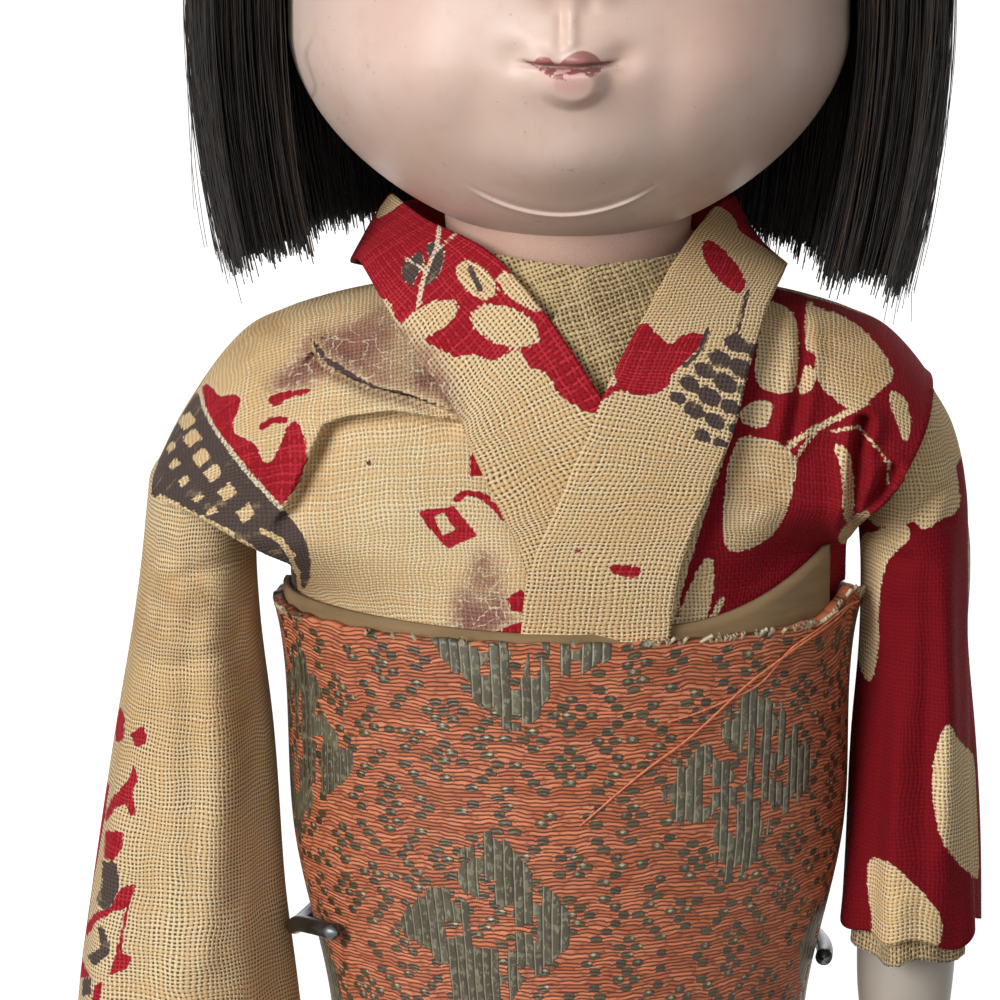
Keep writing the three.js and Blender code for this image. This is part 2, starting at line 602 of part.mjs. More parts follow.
// Kimono bodice and collars, cut from layers over the torso.
function buildBodice() {
  const group = new THREE.Group();
  const stub = solid(barAlongX(STUB_RADIUS + GAP, -FAR, FAR, 0, SHOULDER_Z));
  const neckSideX = neckBaseHalfWidth - GAP;
  const openTopZ = NECK_BASE_Z + OVERCUT;
  const crossing = [NECK_CROSSING_X, NECK_CROSSING_Z];
  const opening = prism([crossing, [neckSideX, openTopZ], [-neckSideX, openTopZ]], -FAR, 0);
  const layer = torsoLayer(bodiceOutset, CLOTH, skirtTopZ + GAP, NECK_BASE_Z);
  group.add(mesh('kimono_bodice', layer.subtract(stub).subtract(opening), kimonoCloth));

  const collarLayer = torsoLayer(collarOutset, COLLAR_CLOTH, OBI_TOP_Z + OBI_BOARD_RISE + GAP, NECK_BASE_Z);
  const shoulderX = neckSideX + COLLAR_WIDTH;
  const footZ = OBI_TOP_Z;
  const across = (COLLAR_WIDTH * 2) / 3;
  const rightBand = [
    [neckSideX, openTopZ],
    crossing,
    [COLLAR_FOOT_X, footZ],
    [COLLAR_FOOT_X + COLLAR_FOOT_WIDTH, footZ],
    [NECK_CROSSING_X + COLLAR_FOOT_WIDTH - across, NECK_CROSSING_Z - across],
    [shoulderX, openTopZ],
  ];
  const leftBand = [
    [-neckSideX, openTopZ],
    [-shoulderX, openTopZ],
    [-COLLAR_WIDTH - across, NECK_CROSSING_Z - across],
    [COLLAR_FOOT_X, footZ + COLLAR_WIDTH],
    [NECK_CROSSING_X + COLLAR_WIDTH, footZ + COLLAR_WIDTH],
    crossing,
  ];
  const rightPrism = prism(rightBand.toReversed(), -FAR, 0);
  const rightRoom = rightPrism.add(rightPrism.translate([-GAP, 0, 0]));
  group.add(mesh('kimono_collar_right', collarLayer.intersect(rightPrism), kimonoCloth));
  const leftPrism = prism(leftBand, -FAR, 0).subtract(rightRoom);
  group.add(mesh('kimono_collar_left', collarLayer.intersect(leftPrism), kimonoCloth));

  const standing = { front: neckBaseHalfDepth, back: neckBaseHalfDepth, halfWidth: neckBaseHalfWidth };
  const grown = (outset, z) => {
    const { halfWidth, front, back } = standing;
    return oval({ z, halfWidth: halfWidth + outset, front: front + outset, back: back + outset });
  };
  const wall = (outset, thickness, bottomZ, topZ) => {
    const hollow = solid(skin([grown(outset, bottomZ - OVERCUT), grown(outset, topZ + OVERCUT)]));
    const outer = [grown(outset + thickness, bottomZ), grown(outset + thickness, topZ)];
    return solid(skin(outer)).subtract(hollow);
  };
  const backCollar = wall(bodiceOutset, COLLAR_CLOTH, NECK_BASE_Z + GAP, BACK_COLLAR_TOP_Z);
  group.add(mesh('kimono_collar_back', backCollar.subtract(infront(0)), kimonoCloth));

  const underBand = wall(-UNDER_CLOTH - GAP, UNDER_CLOTH, NECK_BASE_Z + GAP, UNDER_COLLAR_TOP_Z);
  const inset = GAP * 3;
  const patchOutline = [
    [NECK_CROSSING_X, NECK_CROSSING_Z + inset],
    [neckSideX - inset, openTopZ],
    [-neckSideX + inset, openTopZ],
  ];
  const patch = torsoLayer(bodiceOutset, UNDER_CLOTH, SHOULDER_Z, NECK_BASE_Z);
  const chestPatch = patch.intersect(prism(patchOutline, -FAR, 0));
  const splitSlope = (NECK_CROSSING_X - UNDER_COLLAR_SPLIT_X) / (UNDER_COLLAR_TOP_Z - NECK_CROSSING_Z);
  const splitAt = (z) => UNDER_COLLAR_SPLIT_X + splitSlope * (UNDER_COLLAR_TOP_Z - z);
  const highZ = UNDER_COLLAR_TOP_Z + OVERCUT;
  const sideOf = (side) => {
    const low = [splitAt(SHOULDER_Z) + (side * GAP) / 2, SHOULDER_Z];
    const high = [splitAt(highZ) + (side * GAP) / 2, highZ];
    const outline = [low, [side * FAR, SHOULDER_Z], [side * FAR, highZ], high];
    return prism(side > 0 ? outline : outline.toReversed(), -FAR, FAR);
  };
  const bridgeWidth = 2 * UNDER_CLOTH + 2 * GAP;
  const bridge = torsoLayer(-UNDER_CLOTH - GAP, bridgeWidth, NECK_BASE_Z + GAP, NECK_BASE_Z + 2 * GAP);
  const ledge = bridge.intersect(infront(0));
  const tongue = chestPatch.add(patchStep(patchOutline));
  for (const [side, name] of [[-1, 'under_collar_left'], [1, 'under_collar_right']]) {
    group.add(mesh(name, underBand.add(ledge).add(tongue).intersect(sideOf(side)), gauze));
  }
  return group;
}

// The short riser that joins the gauze on the chest to the gauze round the neck.
function patchStep(outline) {
  const riser = torsoLayer(bodiceOutset, UNDER_CLOTH, NECK_BASE_Z - GAP, NECK_BASE_Z + 2 * GAP);
  return riser.intersect(prism(outline, -FAR, 0));
}

// Skirt: a tube from under the obi to the hem.
function buildSkirt() {
  const waist = torsoAt(skirtTopZ, bodiceOutset + CLOTH);
  const stations = [
    [HEM_Z, hemHalfWidth, hemHalfDepth],
    [(HEM_Z + SEAT_Z) / 2, (hemHalfWidth + seatHalfWidth) / 2, (hemHalfDepth + seatHalfDepth) / 2],
    [SEAT_Z, seatHalfWidth, seatHalfDepth],
    [skirtTopZ, waist.halfWidth, waist.front],
  ];
  const heights = stations.map(([z]) => z);
  const sections = stations.flatMap(([, width, depth]) => [width, depth]);
  const shape = new THREE.CubicInterpolant(heights, sections, 2);
  const steps = 6;
  const levels = Array.from({ length: steps + 1 }, (_, i) => HEM_Z + ((skirtTopZ - HEM_Z) * i) / steps);
  const ring = (outset) => (z) => {
    const inside = THREE.MathUtils.clamp(z, HEM_Z, skirtTopZ);
    const [halfWidth, front] = shape.evaluate(inside);
    const fall = THREE.MathUtils.clamp((SEAT_Z - inside) / (SEAT_Z - HEM_Z), 0, 1);
    const ripple = (angle) => outset + SKIRT_FOLD_DEPTH * fall * Math.cos(SKIRT_FOLDS * angle);
    return oval({ z, halfWidth, front, ripple }, SKIRT_SIDES);
  };
  const outer = solid(skin(levels.map(ring(0))));
  const hollow = solid(skin([HEM_Z - OVERCUT, ...levels, skirtTopZ + OVERCUT].map(ring(-CLOTH))));
  return mesh('kimono_skirt', outer.subtract(hollow), kimonoCloth);
}

// Obi: waist tie, cardboard board, brocade band, bow and waist clip.
function buildObi() {
  const group = new THREE.Group();
  const tieBottomZ = obiBottomZ + WAIST_TIE_INSET - WAIST_TIE_HEIGHT / 2;
  const tie = torsoLayer(boardOutset, BOARD, tieBottomZ, tieBottomZ + WAIST_TIE_HEIGHT);
  group.add(mesh('waist_tie', tie, innerCloth));
  const board = torsoLayer(boardOutset, BOARD, obiBottomZ + OBI_BOARD_INSET, OBI_TOP_Z + OBI_BOARD_RISE);
  group.add(mesh('obi_board', board.subtract(behind(OBI_BOARD_BACK_Y)), cardboard));
  group.add(mesh('obi_band', torsoLayer(obiOutset, OBI_CLOTH, obiBottomZ, OBI_TOP_Z), obiBrocade));

  const knotZ = [KNOT_Z - KNOT_HEIGHT / 2, KNOT_Z + KNOT_HEIGHT / 2];
  const knotLevels = [...knotZ, ...torsoLevels.filter((z) => z > knotZ[0] && z < knotZ[1])];
  const obiBackY = Math.max(...knotLevels.map((z) => torsoAt(z, obiFace).front));
  const knotY = obiBackY + GAP + KNOT_DEPTH / 2;
  const wide = KNOT_WIDTH / 2;
  const deep = KNOT_DEPTH / 2;
  const padOutline = [
    [-wide + KNOT_CORNER, -deep],
    [wide - KNOT_CORNER, -deep],
    [wide, -deep + KNOT_CORNER],
    [wide, deep - KNOT_CORNER],
    [wide - KNOT_CORNER, deep],
    [-wide + KNOT_CORNER, deep],
    [-wide, deep - KNOT_CORNER],
    [-wide, -deep + KNOT_CORNER],
  ];
  const pad = new THREE.Shape(padOutline.map(([x, y]) => new THREE.Vector2(x, y)));
  const knot = new THREE.ExtrudeGeometry(pad, { depth: KNOT_HEIGHT, bevelEnabled: false });
  group.add(mesh('obi_knot', knot.translate(0, knotY, knotZ[0]), obiBrocade));

  for (const [side, where] of [[-1, 'left'], [1, 'right']]) {
    const loopX = side * (KNOT_WIDTH / 2 + GAP + LOOP_LENGTH / 2);
    const outline = new THREE.Shape();
    outline.absellipse(0, 0, LOOP_LENGTH / 2, LOOP_DEPTH / 2, 0, 2 * Math.PI);
    const hole = new THREE.Path();
    hole.absellipse(0, 0, LOOP_LENGTH / 2 - LOOP_WALL, LOOP_DEPTH / 2 - LOOP_WALL, 0, 2 * Math.PI, true);
    outline.holes.push(hole);
    const loopDrawing = { depth: LOOP_HEIGHT, bevelEnabled: false, curveSegments: 14 };
    const loop = new THREE.ExtrudeGeometry(outline, loopDrawing);
    const loopMesh = mesh(`obi_loop_${where}`, loop, obiBrocade);
    loopMesh.position.set(loopX, obiBackY + GAP + LOOP_DEPTH / 2, knotZ[0]);
    group.add(loopMesh);
    const tail = new THREE.BoxGeometry(TAIL_WIDTH, TAIL_THICKNESS, TAIL_LENGTH);
    const tailMesh = mesh(`obi_tail_${where}`, tail.translate(0, 0, -TAIL_LENGTH / 2), obiBrocade);
    const spread = THREE.MathUtils.degToRad(TAIL_SPREAD_DEG);
    const tailDrop = (TAIL_WIDTH / 2) * Math.sin(spread) + GAP;
    const tailX = side * ((TAIL_WIDTH / 2) * Math.cos(spread) + GAP);
    tailMesh.rotation.y = -side * spread;
    tailMesh.position.set(tailX, knotY, knotZ[0] - tailDrop);
    group.add(tailMesh);
  }
  group.add(mesh('waist_clip', waistClip(), springSteel));
  return group;
}

// The clip's wire follows the obi's face from the front left, round the back, to the right side.
function waistClip() {
  const reach = GAP * 2 + CLIP_WIRE_RADIUS;
  const route = [];
  for (let step = 0; step <= CLIP_STEPS; step++) {
    const degrees = CLIP_RIGHT_END_DEG + ((CLIP_LEFT_END_DEG - CLIP_RIGHT_END_DEG) * step) / CLIP_STEPS;
    const angle = THREE.MathUtils.degToRad(degrees);
    const z = obiBottomZ + CLIP_INSET - CLIP_END_RISE * Math.cos(angle);
    const { halfWidth, front } = torsoAt(z, obiFace + reach);
    route.push(new THREE.Vector3(halfWidth * Math.cos(angle), front * Math.sin(angle), z));
  }
  const section = new THREE.Shape();
  section.absellipse(0, 0, CLIP_WIRE_RADIUS, CLIP_WIRE_RADIUS, 0, 2 * Math.PI);
  const extrudePath = new THREE.CatmullRomCurve3(route);
  return new THREE.ExtrudeGeometry(section, { steps: CLIP_STEPS, extrudePath, curveSegments: 2 });
}

// One arm, in its own group at the shoulder. Drops are measured down from the shoulder.
function buildArm(side, where, wristOut, cuffDrop, cuffWidth) {
  const group = new THREE.Group();
  group.position.set(side * ARM_X, 0, SHOULDER_Z);
  const lean = (drop) => (side * wristOut * drop) / WRIST_DROP;
  const section = ([drop, halfWidth, front]) => {
    return oval({ x: lean(drop), z: -drop, halfWidth, front }, LIMB_SIDES);
  };
  const limb = (drops) => skin(drops.map(section));
  const upperSections = [
    [ELBOW_DROP - GAP / 2, ELBOW_RADIUS, ELBOW_RADIUS],
    [ELBOW_DROP * BICEPS_SHARE, UPPER_ARM_RADIUS, UPPER_ARM_HALF_DEPTH],
    [0, UPPER_ARM_RADIUS, UPPER_ARM_HALF_DEPTH],
    [-ARM_TOP_RISE, ARM_TOP_RADIUS, ARM_TOP_RADIUS],
  ];
  const stubFrom = side * (SHOULDER_HALF_WIDTH + GAP - ARM_X);
  const stub = barAlongX(STUB_RADIUS, Math.min(stubFrom, 0), Math.max(stubFrom, 0), 0, 0, LIMB_SIDES);
  group.add(mesh(`upper_arm_${where}`, solid(limb(upperSections)).add(solid(stub)), innerCloth));
  const handSections = [
    [FINGER_DROP, FINGERTIP_HALF_WIDTH, FINGERTIP_HALF_DEPTH],
    [FINGER_DROP - FINGERTIP_LENGTH, FINGER_HALF_WIDTH, FINGER_HALF_DEPTH],
    [PALM_DROP, PALM_HALF_WIDTH, PALM_HALF_DEPTH],
    [WRIST_DROP, WRIST_RADIUS, WRIST_RADIUS],
    [(WRIST_DROP + ELBOW_DROP) / 2, UPPER_ARM_RADIUS, UPPER_ARM_RADIUS],
    [ELBOW_DROP + GAP / 2, ELBOW_RADIUS, ELBOW_RADIUS],
  ];
  group.add(mesh(`forearm_${where}`, limb(handSections), shellWhite));
  const bandInner = UPPER_ARM_RADIUS + GAP / 2;
  const bandOuter = bandInner + BAND_THICKNESS;
  const band = turnedRing(bandInner, bandOuter, -BAND_HEIGHT / 2, BAND_HEIGHT / 2, 0, LIMB_SIDES);
  group.add(mesh(`elbow_band_${where}`, band.translate(lean(ELBOW_DROP), 0, -ELBOW_DROP), washiPaper));

  const capHalf = (SLEEVE_OUTER_X - SLEEVE_INNER_X) / 2;
  const capX = side * ((SLEEVE_OUTER_X + SLEEVE_INNER_X) / 2 - ARM_X);
  const cuffX = lean(cuffDrop);
  const sleeveForm = (inset, tail) => {
    const capProfile = [
      [0, -capHalf + inset],
      [SLEEVE_CAP_RADIUS - SLEEVE_CAP_EDGE - inset, -capHalf + inset],
      [SLEEVE_CAP_RADIUS - inset, -capHalf / 2],
      [SLEEVE_CAP_RADIUS - SLEEVE_CAP_SLOPE - inset, capHalf / 3],
      [SLEEVE_CAP_RADIUS * SLEEVE_CAP_CROWN_SHARE - inset, capHalf * SLEEVE_CAP_CROWN_OUT_SHARE - inset / 2],
      [0, capHalf - inset],
    ];
    const cap = new THREE.LatheGeometry(capProfile.map(([r, x]) => new THREE.Vector2(r, x)), 20);
    const elbowHalfWidth = THREE.MathUtils.lerp(capHalf, cuffWidth / 2, SLEEVE_ELBOW_WIDTH_SHARE);
    const elbowHalfDepth = SLEEVE_CUFF_HALF_DEPTH * SLEEVE_ELBOW_DEPTH_SHARE;
    const elbowX = THREE.MathUtils.lerp(capX, cuffX, SLEEVE_ELBOW_SHARE);
    const tubeSections = [
      [cuffDrop + tail, cuffWidth / 2, SLEEVE_CUFF_HALF_DEPTH, cuffX],
      [cuffDrop, cuffWidth / 2, SLEEVE_CUFF_HALF_DEPTH, cuffX],
      [cuffDrop * SLEEVE_ELBOW_SHARE, elbowHalfWidth, elbowHalfDepth, elbowX],
      [0, capHalf, SLEEVE_CAP_RADIUS, capX],
    ].slice(tail ? 0 : 1);
    const tube = tubeSections.map(([drop, halfWidth, front, x]) => {
      const fall = Math.min(drop / cuffDrop, 1);
      const ripple = (angle) => SLEEVE_FOLD_DEPTH * fall * Math.cos(SLEEVE_FOLDS * angle) - inset;
      return oval({ x, z: -drop, halfWidth, front, ripple }, 30);
    });
    return solid(cap.rotateZ(-side * Math.PI / 2).translate(capX, 0, 0)).add(solid(skin(tube)));
  };
  const innerEdge = side * (SLEEVE_INNER_X - ARM_X);
  const armholeEnds = [innerEdge - side * OVERCUT, innerEdge + side * OVERCUT].toSorted((a, b) => a - b);
  const armhole = barAlongX(STUB_RADIUS + GAP, ...armholeEnds, 0, 0, LIMB_SIDES);
  const inside = sleeveForm(CLOTH, OVERCUT).add(solid(armhole));
  group.add(mesh(`kimono_sleeve_${where}`, sleeveForm(0, 0).subtract(inside), kimonoCloth));

  const lining = (inset) => {
    const drops = [cuffDrop + UNDER_SLEEVE_SHOWS, cuffDrop, cuffDrop - UNDER_SLEEVE_LENGTH];
    return (extra) =>
      solid(skin(drops.map((drop, i) => {
        const narrowing = (cuffDrop - Math.min(drop, cuffDrop)) * UNDER_SLEEVE_TAPER;
        const front = SLEEVE_CUFF_HALF_DEPTH - inset - narrowing;
        const z = -drop + (i === 0 ? -extra : 0) + (i === 2 ? extra : 0);
        return oval({ x: lean(drop), z, halfWidth: cuffWidth / 2 - inset - narrowing, front }, 24);
      })));
  };
  const underInset = CLOTH + GAP + SLEEVE_FOLD_DEPTH;
  const underSleeve = lining(underInset)(0).subtract(lining(underInset + UNDER_CLOTH)(OVERCUT));
  group.add(mesh(`under_sleeve_${where}`, underSleeve, gauze));
  return group;
}

// One leg, in its own group at the hip axis.
function buildLeg(side, where) {
  const group = new THREE.Group();
  group.position.set((side * LEG_SPACING) / 2, 0, HIP_AXIS_Z);
  const kneeDrop = HIP_AXIS_Z - KNEE_Z;
  const limb = (drops) =>
    skin(drops.map(([drop, radius]) => oval({ z: -drop, halfWidth: radius, front: radius }, 20)));
  const thigh = solid(limb([
    [kneeDrop - GAP / 2, KNEE_RADIUS],
    [kneeDrop * THIGH_LOW_SHARE, THIGH_LOW_RADIUS],
    [kneeDrop * THIGH_SWELL_SHARE, THIGH_SWELL_RADIUS],
    [0, THIGH_TOP_RADIUS],
  ]));
  const hip = solid(barAlongX(HIP_RADIUS + GAP, -hipLength, hipLength, 0, 0));
  const aboveHip = block([-FAR, -FAR, -HIP_RADIUS / 2], [FAR, FAR, FAR]);
  group.add(mesh(`thigh_${where}`, thigh.subtract(hip).subtract(aboveHip), innerCloth));
  const bandInner = KNEE_RADIUS + GAP + BAND_LIFT;
  const band = turnedRing(bandInner, bandInner + BAND_THICKNESS, -BAND_HEIGHT / 2, BAND_HEIGHT / 2, 0, 20);
  group.add(mesh(`knee_band_${where}`, band.translate(0, 0, -kneeDrop), washiPaper));

  const shin = solid(limb([
    [HIP_AXIS_Z - FOOT_HEIGHT / 2, ANKLE_RADIUS],
    [HIP_AXIS_Z - ANKLE_Z, ANKLE_RADIUS],
    [HIP_AXIS_Z - CALF_Z, CALF_RADIUS],
    [kneeDrop + GAP / 2, KNEE_RADIUS],
  ]));
  const foot = new THREE.SphereGeometry(1, 20, 12).scale(FOOT_HALF_WIDTH, FOOT_LENGTH / 2, FOOT_HEIGHT);
  const footSolid = solid(foot.translate(0, -FOOT_FORWARD, -HIP_AXIS_Z)).subtract(below(-HIP_AXIS_Z));
  group.add(mesh(`shin_${where}`, shin.add(footSolid), shellWhite));
  return group;
}

const doll = new THREE.Group();
doll.add(buildHead(), buildHair(), buildTorso(), buildBodice(), buildSkirt(), buildObi());
doll.add(buildArm(-1, 'left', LEFT_WRIST_OUT, LEFT_CUFF_DROP, LEFT_CUFF_WIDTH));
doll.add(buildArm(1, 'right', RIGHT_WRIST_OUT, RIGHT_CUFF_DROP, RIGHT_CUFF_WIDTH));
doll.add(buildLeg(-1, 'left'), buildLeg(1, 'right'));

// The origin is on the floor, in the middle of the box round the whole doll.
const middle = new THREE.Box3().setFromObject(doll).getCenter(new THREE.Vector3());
doll.position.set(-middle.x, -middle.y, 0);
const ichimatsuDoll = new THREE.Group();
ichimatsuDoll.add(doll);

export default ichimatsuDoll;
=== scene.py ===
# Looks of a 400 mm ichimatsu doll in a printed kimono and a brocade obi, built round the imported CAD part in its
# frame. Lengths are millimetres from the doll's upright axis and the floor. The face looks to -Y, and left is the
# viewer's left.
import math
from functools import partialmethod

import bpy
import numpy as np
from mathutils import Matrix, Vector


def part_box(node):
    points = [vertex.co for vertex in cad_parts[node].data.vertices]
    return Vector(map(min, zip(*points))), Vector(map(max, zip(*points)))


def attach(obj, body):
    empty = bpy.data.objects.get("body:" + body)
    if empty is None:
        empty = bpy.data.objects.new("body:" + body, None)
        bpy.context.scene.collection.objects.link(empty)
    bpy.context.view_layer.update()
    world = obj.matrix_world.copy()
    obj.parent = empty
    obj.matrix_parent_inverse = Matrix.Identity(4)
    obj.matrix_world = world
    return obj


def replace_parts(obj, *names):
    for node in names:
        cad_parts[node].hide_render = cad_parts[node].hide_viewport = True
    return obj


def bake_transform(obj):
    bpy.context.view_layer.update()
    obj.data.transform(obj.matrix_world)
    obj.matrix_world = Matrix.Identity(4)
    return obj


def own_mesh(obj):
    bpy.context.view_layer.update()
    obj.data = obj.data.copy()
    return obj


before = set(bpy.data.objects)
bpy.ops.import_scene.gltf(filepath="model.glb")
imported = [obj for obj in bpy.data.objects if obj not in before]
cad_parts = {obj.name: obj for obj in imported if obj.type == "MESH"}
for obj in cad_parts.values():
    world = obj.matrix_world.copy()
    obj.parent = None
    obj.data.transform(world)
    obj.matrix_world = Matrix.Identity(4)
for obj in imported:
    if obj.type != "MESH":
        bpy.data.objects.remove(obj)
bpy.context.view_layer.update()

# Body under the clothes: hollow chest halves, hip block and squeaker boards of pressed wood paste (sawdust bound with
# starch), and a leather lining in the neck hole. The clothes hide them, so the CAD shapes stay and get their finish.
WOOD_PASTE_LIGHT = 0xB39066
WOOD_PASTE_DARK = 0x7D5F3E
LEATHER_LIGHT = 0x7A5539
LEATHER_DARK = 0x4C3220


def linear(colour):
    """A colour written as 0xRRGGBB, as the linear values that the nodes take."""
    parts = [((colour >> shift) & 255) / 255 for shift in (16, 8, 0)]
    return [p / 12.92 if p <= 0.04045 else ((p + 0.055) / 1.055) ** 2.4 for p in parts] + [1.0]


def plug(socket, value):
    """Links a wire to a node's input, or sets the input to a plain value or colour."""
    if isinstance(value, Wire):
        value.tree.links.new(value.socket, socket)
    elif socket.type == "RGBA":
        socket.default_value = linear(value)
    else:
        socket.default_value = value


class Wire:
    """A value on its way through a node tree. Arithmetic on wires adds the nodes that do it."""

    def __init__(self, tree, socket):
        self.tree = tree
        self.socket = socket

    def math(self, operation, *others):
        return add_node(self.tree, "ShaderNodeMath", 0, dict(enumerate((self, *others))), operation=operation)

    __add__ = partialmethod(math, "ADD")
    __sub__ = partialmethod(math, "SUBTRACT")
    __mul__ = partialmethod(math, "MULTIPLY")
    __truediv__ = partialmethod(math, "DIVIDE")
    __pow__ = partialmethod(math, "POWER")
    __abs__ = partialmethod(math, "ABSOLUTE")
    floor = partialmethod(math, "FLOOR")
    fract = partialmethod(math, "FRACT")
    at_least = partialmethod(math, "MAXIMUM")
    at_most = partialmethod(math, "MINIMUM")
    over = partialmethod(math, "GREATER_THAN")

    def __rsub__(self, other):
        return self * -1 + other

    def off_middle(self):
        """How far the part behind the point is from one half."""
        return abs(self.fract() - 0.5)

    def rise(self, low, high):
        """0 below low, 1 above high and smooth between."""
        return add_node(self.tree, "ShaderNodeMapRange", "Result", {"Value": self, "From Min": low, "From Max": high},
                        interpolation_type="SMOOTHSTEP")

    def vector(self, operation, other):
        """The same for a place, direction by direction."""
        return add_node(self.tree, "ShaderNodeVectorMath", 0, {0: self, 1: other}, operation=operation)

    moved = partialmethod(vector, "ADD")
    stretched = partialmethod(vector, "MULTIPLY")


def add_node(tree, kind, output, inputs, **settings):
    """A new node with its settings and inputs, as a wire from one of its outputs."""
    node = tree.nodes.new(kind)
    for name, value in settings.items():
        setattr(node, name, value)
    for name, value in inputs.items():
        plug(node.inputs[name], value)
    return Wire(tree, node.outputs[output])


def tint(factor, below, above):
    """A colour that goes from below to above as factor goes from 0 to 1."""
    return add_node(factor.tree, "ShaderNodeMix", 2, {0: factor, 6: below, 7: above}, data_type="RGBA")


def noise(place, per_mm, detail=2.0, output="Fac"):
    """Cloudy noise with that many swells to a millimetre."""
    return add_node(place.tree, "ShaderNodeTexNoise", output, {"Vector": place, "Scale": per_mm, "Detail": detail})


def material(name, roughness, metallic=0.0):
    made = bpy.data.materials.new(name)
    made.use_nodes = True
    shader = made.node_tree.nodes["Principled BSDF"]
    plug(shader.inputs["Roughness"], roughness)
    plug(shader.inputs["Metallic"], metallic)
    return made, made.node_tree, shader


def place_on_piece(tree):
    """Where a point is on its own piece, in millimetres."""
    return add_node(tree, "ShaderNodeTexCoord", "Object", {}).stretched((1000, 1000, 1000))


def relief(shader, height, depth, strength=1.0):
    """Raises the surface by height times depth in millimetres, in the shading."""
    heights = {"Distance": depth / 1000, "Strength": strength, "Height": height}
    plug(shader.inputs["Normal"], add_node(height.tree, "ShaderNodeBump", "Normal", heights))


def all_outputs(wire):
    return [Wire(wire.tree, socket) for socket in wire.socket.node.outputs]


def open_group(name, inputs, outputs):
    """A new node group with named inputs and outputs, and wires from its inputs."""
    tree = bpy.data.node_groups.new(name, "ShaderNodeTree")
    for way, sockets in (("INPUT", inputs), ("OUTPUT", outputs)):
        for label, kind in sockets.items():
            tree.interface.new_socket(label, in_out=way, socket_type=f"NodeSocket{kind}")
    return tree, all_outputs(add_node(tree, "NodeGroupInput", 0, {}))[:len(inputs)]


def close_group(tree, *values):
    """Leads values to a group's outputs."""
    for socket, value in zip(tree.nodes.new("NodeGroupOutput").inputs, values):
        plug(socket, value)
    return tree


def placed(group, tree, *values):
    """Places a group in a material with its own values, and gives its outputs."""
    return all_outputs(add_node(tree, "ShaderNodeGroup", 0, dict(enumerate(values)), node_tree=group))


def grain_group():
    """Cloudy tone, and fibres or scratches along one direction."""
    tree, (place, shares, per_mm) = open_group("grain", {"Place": "Vector", "Stretch": "Vector", "Per mm": "Float"},
                                               {"Tone": "Float", "Fibre": "Float"})
    fibre = noise(place.stretched(shares), per_mm, 5)
    return close_group(tree, (noise(place, per_mm / 8, 4) + fibre - 0.3) * 1.2, fibre)


grain = grain_group()


def mottled(name, roughness, dark, light, fibre_stretch, per_mm, depth, metallic=0.0):
    """A plain stuff with the grain in its colour, its gloss and its surface."""
    made, tree, shader = material(name, roughness, metallic)
    tone, fibre = placed(grain, tree, place_on_piece(tree), fibre_stretch, per_mm)
    plug(shader.inputs["Base Color"], tint(tone, dark, light))
    plug(shader.inputs["Roughness"], (fibre - 0.5) * 0.3 + roughness)
    relief(shader, fibre, depth)
    return made


def finish_cad(finish, slot, *nodes):
    """Gives CAD pieces that keep their shape their finish."""
    for node in nodes:
        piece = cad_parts[node]
        piece.data.materials.clear()
        piece.data.materials.append(finish)


wood_paste = mottled("pressed wood paste", 0.85, WOOD_PASTE_DARK, WOOD_PASTE_LIGHT, (1, 1, 0.15), 1.4, 0.3)
leather = mottled("old leather", 0.7, LEATHER_DARK, LEATHER_LIGHT, (1, 1, 1), 1.1, 0.2)
finish_cad(wood_paste, "wood_paste", "chest_front", "chest_back", "hip_block", "squeaker_front_board",
           "squeaker_back_board", "squeaker_reed")
finish_cad(leather, "leather", "neck_ring")

# Squeaker bag in the belly: mulberry paper pleated like a bellows between the two boards, glued to them, with a coil
# of steel wire inside that pushes the front board out again.
WASHI_DARK = 0xCDBE9C
WASHI_LIGHT = 0xEDE4CD
STEEL_DARK = 0x55585C
STEEL_LIGHT = 0xA9ADB2
SQUEAKER_Z = 197.0
BAG_HALF_WIDTH = 10.8
BAG_HALF_HEIGHT = 9.8
BAG_FRONT_Y = -14.7
BAG_BACK_Y = 3.7
BAG_PLEATS = 5
BAG_PLEAT_DEPTH = 0.9
COIL_RADIUS = 6.0
COIL_WIRE_RADIUS = 0.5
COIL_TURNS = 4

neck_low, neck_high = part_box("neck")
NECK_Y = 2.0
AXIS = np.array([(neck_low[0] + neck_high[0]) / 2, (neck_low[1] + neck_high[1]) / 2 - NECK_Y / 1000, 0])
TURN = 2 * math.pi
scene = bpy.context.scene


def spot(x, y, z):
    """A place on the doll as a point of the frame, in metres."""
    return tuple(np.array([x, y, z]) / 1000 + AXIS)


def circle(count):
    """Angles once round, in even steps."""
    return TURN * np.arange(count) / count


def points_of(x, y, z):
    """Points from their three coordinates, each spread over the rows and columns of the others."""
    return np.stack(np.broadcast_arrays(x, y, z), axis=-1)


def fit(piece, body, slot, *nodes):
    """Says which body a piece rides on and which CAD nodes it stands for. Its material slot is not used."""
    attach(piece, body)
    if nodes:
        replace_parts(piece, *nodes)


def mesh_piece(name, points, faces, finish, uv=None, marks=None, thick=0.0):
    """A smooth mesh from points in millimetres. Marks are named numbers for each point that the finish reads."""
    data = bpy.data.meshes.new(name)
    data.from_pydata(np.asarray(points, float) / 1000 + AXIS, [], np.asarray(faces))
    data.polygons.foreach_set("use_smooth", np.ones(len(data.polygons), bool))
    if uv is not None:
        data.uv_layers.new(name="threads").data.foreach_set("uv", np.asarray(uv, np.float32).ravel())
    for label, values in (marks or {}).items():
        data.attributes.new(label, "FLOAT", "POINT").data.foreach_set("value", np.asarray(values, np.float32).ravel())
    data.materials.append(finish)
    piece = bpy.data.objects.new(name, data)
    scene.collection.objects.link(piece)
    if thick:
        cloth = piece.modifiers.new("thickness", "SOLIDIFY")
        cloth.thickness = thick / 1000
        cloth.offset = -1
    return piece


